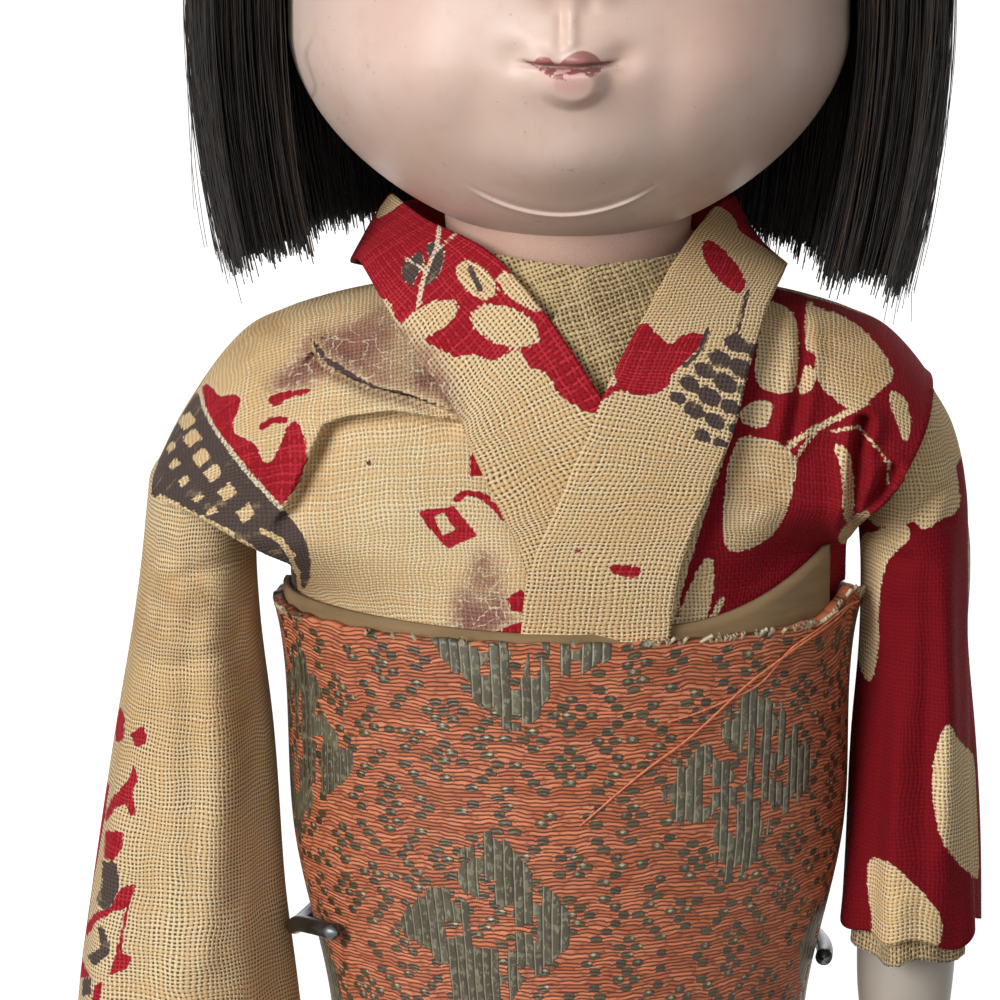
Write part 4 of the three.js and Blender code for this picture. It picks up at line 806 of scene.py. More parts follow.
def oval_depth(px, py, middle, half_sizes, turn):
    along, across = turned_place(px, py, middle, turn)
    return (1 - np.hypot(along / half_sizes[0], across / half_sizes[1])) * min(half_sizes)


SHAPES = {"area": area_depth, "patch": patch_depth, "oval": oval_depth, "line": line_depth, "tile": tile_depth}


def drawn_print(points, drawing, ground="tan"):
    """The print as depths inside each colour in millimetres, with shapes drawn in order in the photo's pixels."""
    px, py = photo_place(points)
    marks = {colour: np.full(px.shape, 9.0 if colour == ground else -9.0) for colour in PRINT_COLOURS}
    for colour, shape, *sizes in drawing:
        depth = SHAPES[shape](px, py, *sizes) * MM_PER_PIXEL
        for other in PRINT_COLOURS:
            marks[other] = np.maximum(marks[other], depth) if other == colour else np.minimum(marks[other], -depth)
    return marks


def front_and_back(points, uv, drawing, openness, red_painted_shade=0, ground="tan", stains_and_shade=()):
    """The drawn print on the front, going over into the scattered print on the back, and how open the weave is."""
    front = ease(-points[..., 1], -3, 1)
    drawn = drawn_print(points, drawing, ground)
    plain = scattered_print(uv[..., 0], uv[..., 1])
    marks = {colour: front * drawn[colour] + (1 - front) * plain[colour] for colour in PRINT_COLOURS}
    px, py = photo_place(points)
    # Ovals of stain and of painted shade on the front.
    stained_and_shaded = [front * ease(oval_depth(px, py, *stain_and_shade) / min(stain_and_shade[1]), 0, 0.8) for stain_and_shade in stains_and_shade] or [front * 0]
    # Deep is painted shade on the crimson.
    return {**marks, "stain_and_shade": np.maximum.reduce(stained_and_shaded), "open": 0 * front + openness, "deep": 0 * front + red_painted_shade}


body_width = flow(BODY_LEVELS, BODY_HALF_WIDTHS)
body_depth = flow(BODY_LEVELS, BODY_HALF_DEPTHS)
ridge_at = flow([0, 14, 21.5, 28, 33, 37.8, 41, 43.5, 46.3, 48.6],
                [306.8, 306, 304.8, 303.4, 301.8, 299.4, 296, 292.4, 287.8, 283])
round_at = flow([0, 20, 36, 43, 48.6], [284, 284, 281.5, 280.5, 279.5])
left_edge = flow(LEFT_EDGE_X, LEFT_EDGE_Z)
right_edge = flow(RIGHT_EDGE_Z, RIGHT_EDGE_X)


def swell(value, middle, width):
    return np.exp(-(((value - middle) / width) ** 2))


def bodice_front(part, where):
    """Rows of one body width's front, from the obi up to the shoulder's ridge. Part is 0 in the middle, 1 outside."""
    reach = np.abs(part)[None, :]
    yoke_x = SHOULDER_REACH * reach
    start_z = round_at(yoke_x)
    share = np.concatenate([np.linspace(0, 0.70, 8), np.linspace(0.72, 1, 72)])[:, None]
    z = BODICE_BOTTOM_Z + share * (start_z - BODICE_BOTTOM_Z)
    depth = body_depth(z) + BODICE_OUT
    leaves_z, outer_rise = YOKE_LEAVES_Z[where]
    clear_z = leaves_z + outer_rise * ease(yoke_x, 10, 30)
    spread = ease(z, clear_z, np.minimum(clear_z + 10, start_z))
    body_x = (body_width(np.minimum(z, 272)) + BODICE_OUT) * np.sin(reach * math.pi / 2)
    body_y = depth * np.cos(reach * math.pi / 2)
    yoke_y = depth * (1 - (yoke_x / YOKE_HALF_WIDTH) ** YOKE_FULLNESS) ** (1 / YOKE_FULLNESS)
    low = points_of(body_x + spread * (yoke_x - body_x), -(body_y + spread * (yoke_y - body_y)), z)
    lift = np.linspace(0, math.pi / 2, 84)[1:, None]
    top_y = low[-1:, :, 1] * np.cos(lift) ** 0.9
    top_z = start_z + (ridge_at(yoke_x) - start_z) * np.sin(lift) ** 0.9
    return np.concatenate([low, points_of(low[-1:, :, 0], top_y, top_z)])


def bodice_half(side, where, armhole):
    """One body width. Armhole pulls points near its edge onto it, and says how far inside the armhole each point is."""
    part = np.linspace(-0.05, 1, 150)
    front = bodice_front(part, where)
    back = front[-2::-1].copy()
    back[..., 1] *= -1
    points, hole = armhole(np.concatenate([front, back]))
    points[..., 0] *= side * np.sign(part + 1e-9)
    px, py = photo_place(points)
    facing = ease(-points[..., 1], 2, 8)
    press = np.zeros(px.shape)
    for fold, lip, lip_width, under, under_width in LAPPED_FOLDS:
        away, turn = route_distance(px, py, fold)
        above = away * -np.sign(turn)
        lifted = lip * swell(above, 6, lip_width)
        sunk = -under * swell(above, 0, under_width)
        start = fold[0][0]
        here = (1 - ease(px, *FOLDS_END)) * ease(px, start, start + 26)
        press += (sunk + ease(above, -3, 3) * (lifted - sunk)) * here
    for fold, depth in SUNK_FOLDS:
        away = route_distance(px, py, fold)[0]
        press += -depth * swell(away, 0, 6) + 0.5 * depth * swell(away, 13, 8)
    press += 0.3 * np.sin(px / 31 + py / 47) * np.sin(py / 29 - px / 61) * ease(points[..., 2], 272, 282)
    points[..., 1] -= facing * press * ease(points[..., 2], 268, 274)
    middle = (points[:-1, :-1] + points[1:, 1:]) / 2
    mx, my, mz = np.moveaxis(middle, -1, 0)
    pixel_x, pixel_y = photo_place(middle)
    corners = (hole[:-1, :-1], hole[1:, 1:], hole[1:, :-1], hole[:-1, 1:])
    most, least = np.maximum.reduce(corners), np.minimum.reduce(corners)
    gone = ((most > 0.02) | ((most == 0) & (least == 0))) & (mz > ARMHOLE_BOTTOM_Z)
    gone |= (my < 0) & (area_depth(pixel_x, pixel_y, NECK_HOLE_PIXELS) > 0)
    gone |= (np.hypot(mx, my - NECK_Y) < NECK_HOLE_RADIUS) & (mz > NECK_HOLE_BOTTOM_Z)
    uv = thread_map(points, closed=False)
    marks = front_and_back(points, uv, BODICE_PRINT, *BODICE_CLOTH[where], stains_and_shade=BODICE_STAINS_AND_SHADE)
    piece = grid_piece(f"kimono_body_{where}", points, kimono, uv=uv, keep=~gone, marks=marks,
                       thick=KIMONO_THICKNESS, flip=side < 0)
    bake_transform(piece)
    return piece


def pull_to_edge(points, axis, edge, inside, reach):
    """Points with those near an edge pulled onto it, and how far inside it each one is."""
    near = np.abs(inside) < reach
    points[..., axis] = np.where(near, edge, points[..., axis])
    return points, np.where(near, 0, inside)


def left_armhole(points):
    """Below a line across the shoulder's end, where the sleeve comes out."""
    edge = left_edge(points[..., 0])
    inside = np.where(points[..., 0] > LEFT_EDGE_X[0], edge - points[..., 2], -9.0)
    return pull_to_edge(points, 2, edge, inside, 0.46)


def right_armhole(points):
    """Outside a slanted edge, where the sleeve's cap comes out."""
    edge = right_edge(points[..., 2])
    inside = np.where(points[..., 2] < RIGHT_EDGE_Z[-1] + 20, points[..., 0] - edge, -9.0)
    return pull_to_edge(points, 0, edge, inside, 0.5)


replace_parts(bodice_half(-1, "left", left_armhole), "kimono_bodice")
bodice_half(1, "right", right_armhole)

# Collars: under-collars of undyed gauze crossed at the throat, and over them the kimono's own collar bands, straight
# strips that stand round the nape, cross right over left on the chest and run down inside the obi.
GAUZE_THREAD = 0xD6BB88
GAUZE_GAP = 0x4A3519
COLLAR_THICKNESS = 0.6
GAUZE_THICKNESS = 0.35
CHEST_MIDDLE = (0, 0, 285)


def seen_at(px, py, y):
    """The point of the doll that lands on a pixel of the photo, when it lies that far back."""
    slope = (PHOTO_MIDDLE - py) / FOCAL_PIXELS
    rise = (slope * (CAMERA_DISTANCE + y * camera_cos) - y * camera_sin) / (camera_cos + slope * camera_sin)
    depth = CAMERA_DISTANCE + y * camera_cos - rise * camera_sin
    return (px - PHOTO_MIDDLE) / FOCAL_PIXELS * depth + CAMERA_AIM[0], y, rise + CAMERA_AIM[2]


def neck_edge(seen, plain=()):
    """An edge round the neck, from points of the doll and then from pixels of the photo with how far back they lie."""
    return [*plain, *(seen_at(*place) for place in seen)]


LEFT_COLLAR_INNER = neck_edge(
    [(392, 193, 6), (427, 219, -4), (489, 251, -12.7), (545, 313, -19.0), (601, 396, -22.6), (632, 450, -22.9),
     (660, 520, -22.8), (680, 610, -22.4)],
    [(0, 21.5, 313.2), (-12, 19, 313.2), (-19.5, 11.5, 312.8)])
LEFT_COLLAR_OUTER = neck_edge(
    [(360, 262, -5), (400, 331, -15.5), (454, 409, -21), (472, 452, -22.4), (502, 516, -23.2), (521, 556, -23.3),
     (548, 650, -22.4)],
    [(0, 22.6, 303.5), (-14, 20.6, 303.5), (-22, 13.5, 304.5), (-25.5, 5, 306.5)])
RIGHT_COLLAR_INNER = neck_edge(
    [(712, 209, 3), (676, 258, -11.2), (644, 315, -18.4), (617, 366, -21.8), (601, 401, -23.8), (565, 487, -24.7),
     (529, 572, -24.6), (519, 655, -22.8)],
    [(0, 22.0, 313.4), (12, 19.4, 313.6), (19.5, 11.8, 313.8)])
RIGHT_COLLAR_OUTER = neck_edge(
    [(785, 270, -4), (767, 310, -12.5), (748, 374, -19), (735, 428, -21.6), (711, 490, -23.2), (681, 570, -24.2),
     (668, 655, -22.8)],
    [(0, 23.0, 303.5), (14, 21.0, 303.5), (22, 13.8, 304.5), (25.5, 5, 306.5)])
LEFT_UNDER_INNER = neck_edge(
    [(430, 235, 3), (470, 248, -7), (497, 254, -11.6), (540, 262, -14.6), (582, 267, -15.6), (604, 282, -16.4)])
LEFT_UNDER_OUTER = neck_edge(
    [(420, 275, -3), (450, 300, -9.5), (490, 330, -14.4), (540, 370, -17.8), (582, 405, -19.4), (604, 418, -19.8)])
RIGHT_UNDER_INNER = neck_edge(
    [(708, 228, 4), (690, 246, -5.5), (665, 256, -11), (630, 261, -15.8), (585, 269, -18.4), (565, 299, -18.9),
     (552, 322, -19.1)])
RIGHT_UNDER_OUTER = neck_edge(
    [(735, 280, 0), (722, 310, -8), (700, 340, -15.2), (670, 380, -18.4), (640, 410, -20), (610, 430, -20.6),
     (590, 438, -20.8)])
LEFT_COLLAR_PRINT = [
    ("red", "area", [(370, 140), (395, 160), (427, 190), (489, 242), (524, 274), (552, 304), (596, 366), (612, 396),
     (596, 418), (556, 394), (553, 380), (540, 368), (530, 370), (522, 351), (510, 351), (493, 363), (472, 352),
     (456, 359), (444, 350), (432, 346), (416, 332), (396, 322), (390, 298), (350, 290), (335, 250), (345, 190)]),
    ("slate", "area", [(418, 252), (436, 238), (446, 250), (440, 276), (420, 290), (404, 282), (400, 266)]),
    ("red", "line", [(420, 240), (428, 262), (414, 288)], 3.0),
    ("pale", "line", [(441, 214), (437, 245), (424, 278), (418, 304)], 1.5),
    ("pale", "line", [(437, 250), (458, 232)], 1.0),
    ("pale", "line", [(428, 272), (405, 258)], 1.0),
    ("tan", "oval", (430, 319), (31, 15), -0.48),
    ("tan", "oval", (476, 280), (25, 14), 0.75),
    ("tan", "oval", (505, 326), (36, 19), 0.36),
    ("tan", "oval", (521, 291), (29, 12), 0.62),
    ("slate", "line", [(470, 268), (480, 290)], 2.5),
    ("mauve", "area", [(392, 318), (410, 334), (440, 352), (470, 420), (440, 420), (385, 345)]),
]
COLLAR_SCALES = [(736, 344, 13), (755, 352, 12), (720, 359, 13), (742, 369, 14), (705, 371, 12), (725, 383, 14),
                 (747, 392, 11), (690, 384, 12), (709, 396, 14), (731, 407, 12), (678, 398, 9), (694, 410, 12),
                 (715, 421, 12), (735, 429, 9), (702, 435, 10), (720, 443, 8)]
RIGHT_COLLAR_PRINT = [
    ("red", "area", [(700, 236), (722, 246), (749, 281), (739, 299), (706, 268)]),
    ("red", "area", [(643, 318), (657, 334), (673, 348), (681, 333), (710, 334), (693, 354), (671, 375), (669, 389),
     (641, 397), (618, 390), (612, 366), (627, 340)]),
    ("red", "line", [(600, 398), (618, 386)], 3.5),
    *[("slate", "oval", place, (size, 0.62 * size), 0.3 + 0.02 * size) for *place, size in COLLAR_SCALES],
    ("slate", "line", [(748, 290), (738, 330), (745, 350)], 2.0),
    ("slate", "line", [(708, 330), (700, 352), (684, 366)], 2.0),
    ("red", "area", [(604, 564), (645, 567), (640, 579), (616, 576)]),
    ("red", "tile", [(577, 550)], (4, 2), 0.2),
]
gauze = plain_cloth("undyed gauze", GAUZE_THREAD, GAUZE_GAP, 0.56, 0.58, 0.92)


def band(name, inner, outer, drawing, across, flat, *nodes):
    """A strip between two edges, a little rounded across, of plain gauze or of the printed cloth."""
    plain = drawing is None
    along, arch, thick = (60, 0.2, GAUZE_THICKNESS) if plain else (200, 0.5, COLLAR_THICKNESS)
    steps = np.linspace(0, len(inner) - 1, along)
    edges = [flow(np.arange(len(edge)), edge)(steps) for edge in (inner, outer)]
    share = np.linspace(0, 1, across)[None, :, None]
    points = edges[0][:, None] + share * (edges[1] - edges[0])[:, None]
    outward = np.cross(np.gradient(points, axis=0), np.gradient(points, axis=1))
    outward /= np.linalg.norm(outward, axis=2, keepdims=True) + 1e-9
    outward *= np.sign(np.sum(outward * (points - CHEST_MIDDLE), axis=2, keepdims=True))
    points = points + outward * arch * np.sin(math.pi * share) ** 0.6
    uv = thread_map(points, closed=False)
    if plain:
        px, py = photo_place(points)
        uv = np.stack([px * 0.94 - py * 0.34, px * 0.34 + py * 0.94], axis=-1) * MM_PER_PIXEL
    marks = None if plain else front_and_back(points, uv, drawing, 1.0)
    right_hand = inner[-1][0] < outer[-1][0]
    piece = grid_piece(name, points, gauze if plain else kimono, uv=uv, marks=marks, thick=thick, flip=right_hand)
    fit(piece, "torso", "gauze" if plain else "kimono_cloth", *nodes)


band("gauze_collar_left", LEFT_UNDER_INNER, LEFT_UNDER_OUTER, None, 24, (0.010, 0.030), "under_collar_left")
band("gauze_collar_right", RIGHT_UNDER_INNER, RIGHT_UNDER_OUTER, None, 24, (0.011, 0.037), "under_collar_right")
band("kimono_collar_band_left", LEFT_COLLAR_INNER, LEFT_COLLAR_OUTER, LEFT_COLLAR_PRINT, 34, (0.014, 0.096),
     "kimono_collar_left", "kimono_collar_back")
band("kimono_collar_band_right", RIGHT_COLLAR_INNER, RIGHT_COLLAR_OUTER, RIGHT_COLLAR_PRINT, 40, (0.014, 0.094),
     "kimono_collar_right")

# Arms: upper arms of stuffed cotton tied to the shoulders, paper bands at the elbows, and forearms with hands of wood
# paste under shell white. The hands hang with the palms to the body, and only the right wrist shows below its cuff.
SHOULDER_X = 42.7
SHOULDER_Z = 281.0
UPPER_ARM_RADIUS = 5.0
UPPER_ARM_START = [(36.5, 283), (40, 283)]
UPPER_ARM_LEVELS = [274, 260, 245.4]
FOREARM_LEVELS = [197, 199, 203, 208, 213, 222, 234, 244.6]
FOREARM_HALF_WIDTHS = [2.2, 2.7, 3.2, 3.7, 4.4, 5.2, 5.2, 5.4]
FOREARM_HALF_DEPTHS = [5.2, 6.1, 6.4, 5.9, 5.2, 5.3, 5.4, 5.6]
WRIST_FULLNESS = 1.3
FINGER_ROOT_Z = 203
FINGER_BEND = 1.6
FINGER_PLACES = [-4.6, -1.6, 1.5, 4.4]
FINGER_TIPS = [189.5, 187.6, 188.2, 190.6]
FINGER_RADIUS = 1.55
THUMB = [(-4.6, 209), (-6.3, 204.5), (-6.8, 200), (-6.2, 196)]
ARM_SLOPE = {"left": -0.082, "right": -0.0236}
forearm_width = flow(FOREARM_LEVELS, FOREARM_HALF_WIDTHS)
forearm_depth = flow(FOREARM_LEVELS, FOREARM_HALF_DEPTHS)


def arm_x(side, where, z):
    """Middle of the arm at a height. The left arm leans out, and the right one a little in."""
    return side * SHOULDER_X + ARM_SLOPE[where] * (SHOULDER_Z - z)


for side, where in SIDES:
    joints = [(side * x, 0, z) for x, z in UPPER_ARM_START] + [(arm_x(side, where, z), 0, z) for z in UPPER_ARM_LEVELS]
    reach = flow(np.arange(5), joints)(np.linspace(0, 4, 30))
    upper_points = tubes(reach[None], UPPER_ARM_RADIUS, 24)[0].reshape(30, 24, 3)
    upper_arm = grid_piece(f"stuffed_upper_arm_{where}", upper_points, limb_cloth, closed=True,
                           uv=thread_map(upper_points))
    fit(upper_arm, f"{where}_arm", "limb_cloth", f"upper_arm_{where}")

    forearm_z = np.linspace(FOREARM_LEVELS[0], FOREARM_LEVELS[-1], 60)[:, None]
    forearm_turn = circle(40)
    full = WRIST_FULLNESS * ease(forearm_z, 205, 220) * (1 - side * np.cos(forearm_turn)) / 2
    forearm_x = arm_x(side, where, forearm_z) + forearm_width(forearm_z) * np.cos(forearm_turn) - side * full
    forearm_points = points_of(forearm_x, forearm_depth(forearm_z) * np.sin(forearm_turn), forearm_z)
    forearm = grid_piece(f"shell_white_forearm_{where}", capped(forearm_points), limb_white, closed=True)
    share = np.linspace(0, 1, 10)
    finger_x = arm_x(side, where, 200) - side * FINGER_BEND * share**2
    fingers = [points_of(finger_x, y, FINGER_ROOT_Z + (tip - FINGER_ROOT_Z) * share)
               for y, tip in zip(FINGER_PLACES, FINGER_TIPS)]
    thumb = flow(np.arange(len(THUMB)), THUMB)(share * 3)
    fingers.append(points_of(arm_x(side, where, FINGER_ROOT_Z) - side * 1.5 * share, thumb[:, 0], thumb[:, 1]))
    finger_taper = np.sqrt(np.maximum(1 - share**8, 0)) * (1 - 0.22 * share)
    finger_tubes = tubes(np.array(fingers), FINGER_RADIUS, 12, finger_taper)
    hand = mesh_piece(f"shell_white_fingers_{where}", *finger_tubes, limb_white)
    fit(forearm, f"{where}_arm", "shell_white", f"forearm_{where}")
    fit(hand, f"{where}_arm", "shell_white")

# Sleeves: bags of the printed hemp sewn to the body widths at the shoulder, with cuffs of the gauze under-robe
# showing below their mouths. They swing with the arms, and the left one hangs longer and further out.
SLEEVE_TOPS = {"left": 286.0, "right": 292.6}
SLEEVE_SHAPES = {
    "left": ([212, 222, 230, 250, 265, 272, 281], [59.4, 58.4, 57.2, 53.9, 51.4, 50.4, 49.4],
             [31.8, 33.0, 33.9, 34.9, 36.5, 36.8, 36.4], 15.0),
    "right": ([228, 236, 250, 262, 272, 281, 285, 289, 292.6], [49.3, 49.0, 48.2, 47.4, 47.2, 46.9, 46.2, 44.9, 42.8],
              [32.7, 33.3, 34.2, 35.0, 34.8, 34.0, 34.0, 34.5, 36.0], 13.6),
}
SLEEVE_TOP_DEPTH = 11.0
CUFF_INSET = 1.3
CUFF_BELOW = 2.3
SLEEVE_FOLDS = {"left": (0.5, 5, 0.9), "right": (0.7, 6, 2.2)}
SLEEVE_CREASES = {
    "left": [([(120, 600), (190, 577), (252, 556)], 9, -0.7), ([(112, 652), (172, 668), (230, 652)], 10, -0.6),
             ([(150, 535), (215, 600)], 9, -0.5), ([(232, 610), (250, 740), (240, 900)], 12, -0.9),
             ([(205, 640), (215, 800), (205, 960)], 16, 0.7), ([(150, 720), (158, 960)], 14, -0.6)],
    "right": [([(942, 492), (908, 528), (884, 538)], 7, -1.1), ([(958, 462), (948, 522)], 6, -0.7),
              ([(866, 548), (908, 562)], 7, -0.8), ([(936, 415), (885, 500)], 18, 0.7),
              ([(898, 610), (908, 760), (900, 890)], 13, -0.8), ([(944, 575), (950, 700), (942, 850)], 14, 0.6)],
}
LEFT_SLEEVE_PRINT = [
    ("red", "patch", [(88, 712), (103, 711), (120, 704), (125, 717), (124, 740), (112, 745), (110, 762), (105, 768),
     (109, 785), (102, 808), (92, 806)]),
    ("red", "patch", [(130, 735), (144, 724), (148, 744), (136, 748)]),
    ("red", "patch", [(105, 813), (113, 796), (129, 779), (133, 761), (139, 780), (133, 790), (136, 815), (130, 817),
     (127, 804), (116, 807), (106, 822)]),
    ("red", "patch", [(105, 830), (123, 832), (122, 849), (113, 862), (104, 858)]),
    ("slate", "patch", [(102, 860), (117, 863), (120, 886), (113, 905), (105, 914), (96, 900), (102, 886)]),
    ("red", "patch", [(120, 887), (136, 884), (130, 908), (113, 912), (96, 922), (87, 937), (84, 928), (95, 912),
     (110, 908)]),
    ("slate", "patch", [(96, 925), (105, 928), (111, 953), (94, 967), (86, 956), (102, 947)]),
    ("red", "line", [(126, 914), (122, 935), (119, 953)], 2.8),
    ("red", "patch", [(119, 951), (133, 956), (127, 970), (108, 976), (113, 961)]),
    ("slate", "patch", [(82, 977), (91, 977), (92, 996), (82, 996)]),
    ("red", "patch", [(80, 950), (86, 970), (92, 978), (78, 978)]),
    ("red", "patch", [(66, 1002), (71, 986), (78, 985), (77, 1004)]),
    ("red", "patch", [(94, 987), (103, 981), (100, 1000), (90, 1008)]),
]
# Ovals browned on the left sleeve: a stain at its top, and painted shade along its inner edge.
LEFT_SLEEVE_STAINS_AND_SHADE = [((165, 600), (62, 90), 0.3), ((240, 700), (26, 190), 0.05)]
RIGHT_SLEEVE_PRINT = [
    ("tan", "area", [(900, 350), (954, 380), (975, 440), (956, 462), (958, 478), (962, 510), (939, 520), (926, 532),
     (912, 520), (896, 528), (866, 525), (860, 480)]),
    ("tan", "area", [(855, 535), (880, 530), (905, 522), (914, 536), (896, 552), (884, 566), (878, 612), (880, 640),
     (872, 690), (855, 660)]),
    ("tan", "area", [(947, 716), (958, 742), (990, 766), (990, 890), (962, 868), (938, 838), (929, 772)]),
    ("tan", "area", [(866, 855), (890, 862), (908, 878), (930, 900), (945, 922), (935, 960), (860, 960), (874, 930),
     (868, 900)]),
    ("tan", "area", [(860, 936), (905, 928), (905, 975), (860, 975)]),
]
chance = np.random.default_rng(11)


def sleeve_rows(side, where, z, columns, inset):
    """Rings of a sleeve from its mouth to its rounded top, with soft upright folds, at a column of heights."""
    heights, outer, inner, half_depth = SLEEVE_SHAPES[where]
    outside, inside = flow(heights, outer)(z), flow(heights, inner)(z)
    depth, count, phase = SLEEVE_FOLDS[where]
    angles = circle(columns)
    domed = np.maximum(z - SHOULDER_Z, 0) / (SLEEVE_TOPS[where] - SHOULDER_Z)
    dome = np.sqrt(np.maximum(1 - domed**2, 0))
    held = ease(SHOULDER_Z + 4 - z, 0, 40)
    fold = depth * held * (np.cos(count * angles + phase + z / 26) + 0.6 * np.cos((count + 3) * angles - z / 17))
    half_width = (outside - inside) / 2 * (dome if where == "left" else 1) - inset
    deep = (SLEEVE_TOP_DEPTH + (half_depth - SLEEVE_TOP_DEPTH) * ease(SHOULDER_Z - z, 0, 45)) * dome - inset
    middle = (outside + inside) / 2
    return points_of(side * (middle + (half_width + 0.7 * fold) * np.cos(angles)), (deep + fold) * np.sin(angles), z)


# The second number of each cloth darkens the crimson as painted shade, all over the right sleeve.
for side, where, drawing, cloth, stains_and_shade, flat in (
        (-1, "left", LEFT_SLEEVE_PRINT, (1.0, 0, "tan"), LEFT_SLEEVE_STAINS_AND_SHADE, (0.070, 0.078)),
        (1, "right", RIGHT_SLEEVE_PRINT, (0.8, 1.0, "red"), (), (0.060, 0.067))):
    mouth_z = SLEEVE_SHAPES[where][0][0]
    sleeve_points = sleeve_rows(side, where, np.linspace(mouth_z, SLEEVE_TOPS[where], 130)[:, None], 150, 0.0)
    mouth = 1 - ease(sleeve_points[..., 2], mouth_z, mouth_z + 12)
    sleeve_points[..., 2] += mouth * 0.9 * np.sin(0.45 * sleeve_points[..., 0] + 0.3 * sleeve_points[..., 1])
    sleeve_px, sleeve_py = photo_place(sleeve_points)
    sleeve_facing = ease(-sleeve_points[..., 1], 1, 6)
    for route, half_width, height in SLEEVE_CREASES[where]:
        away = route_distance(sleeve_px, sleeve_py, route)[0]
        sleeve_points[..., 1] -= sleeve_facing * height * swell(away, 0, half_width)
    sleeve_uv = thread_map(sleeve_points)
    sleeve_marks = front_and_back(sleeve_points, sleeve_uv[:, :-1], drawing, *cloth, stains_and_shade)
    sleeve = grid_piece(f"hemp_sleeve_{where}", sleeve_points, kimono, closed=True, uv=sleeve_uv, marks=sleeve_marks,
                        thick=KIMONO_THICKNESS, flip=side < 0)
    cuff_points = sleeve_rows(side, where, np.linspace(mouth_z, mouth_z + 10, 16)[:, None], 110, CUFF_INSET)
    frayed = chance.normal(0, 0.10, cuff_points.shape[:2])
    cuff_points[..., 2] += 0.5 * np.sin(0.8 * cuff_points[..., 0]) - CUFF_BELOW + frayed
    cuff = grid_piece(f"gauze_cuff_{where}", cuff_points, gauze, closed=True, uv=thread_map(cuff_points),
                      thick=GAUZE_THICKNESS, flip=side < 0)
    for piece, node, slot, size in ((sleeve, "kimono_sleeve", "kimono_cloth", flat),
                                    (cuff, "under_sleeve", "gauze", (flat[0] - 0.005, 0.012))):
        fit(piece, f"{where}_arm", slot, f"{node}_{where}")

# Obi: a stiff cardboard board inside a band of brocade, orange silk floats over a dark ground with flecks and flowers
# of gilt paper strip. The band is wound over a waist tie, and a bow of the same brocade is sewn on at the back.
BOARD_LIGHT = 0x8C7350
BOARD_DARK = 0x5E4A30
ORANGE_FLOAT = 0xE58A60
ORANGE_SHADE = 0xBC663F
ORANGE_GAP = 0x5A2A1A
GILT_STRIP = 0x57492F
GILT_DULL = 0x3B3222
GILT_BRIGHT = 0xC9BA98
FLOWER_STRIP = 0x5D5A45
FLOWER_BARE_AND_HIGHLIGHT = 0xA09A7E
OBI_TOP_Z = 267.5
OBI_BOTTOM_Z = 211.5
OBI_OUT = 4.1
OBI_CORNER_LIFT = 2.6
OBI_CORNER_ANGLE = 5.98
OBI_CORNER_WIDTH = 0.16
TIE_LEVELS = (215, 219)
TIE_OUT = 2.0
BOARD_OUT = 2.7
BOARD_BOTTOM_Z = 222.0
BOARD_TOP_Z = 268.7
BOARD_SHORT_TOP_Z = 262.0
BOARD_WIDEST_Z = 268
BOARD_RISE_X = [-1, 0.3, 0.51, 0.727, 0.85, 1]
BOARD_RISE = [0.6, 0.1, 0.9, 3.5, 5.9, 9.6]
BOARD_ENDS = (math.pi * 0.96, math.pi * 2.04)
BOARD_SHORT_FROM = math.pi * 1.865
LOOSE_OUT = 0.35
FLECK_WIDTH = 2.0
FLECK_HEIGHT = 1.0
DIAMOND_WIDTH = 14.0
DIAMOND_HEIGHT = 9.0
FLOAT_PITCH = 0.47
FLOAT_LENGTH = 3.4
STRIP_WIDTH = 1.08
STRIP_LENGTH = 5.5
FLOWERS = [(-36.5, 252.0), (-4.8, 269.0), (20.6, 250.2), (-9.9, 233.4), (50, 264), (44, 228), (72, 246), (-44, 222),
           (-64, 248), (-84, 226), (88, 264), (-88, 266)]
FLOWER_LOBES = [(0.9, 6.2), (-1.1, -6.0), (-5.7, -0.6), (5.7, 0.4)]
FRAYED_THREADS = [
    [(858, 592), (838, 618), (800, 646), (770, 668), (742, 690), (690, 738), (640, 775), (580, 826)],
    [(850, 604), (820, 628), (790, 650), (762, 682), (735, 697), (700, 712), (668, 722)],
]


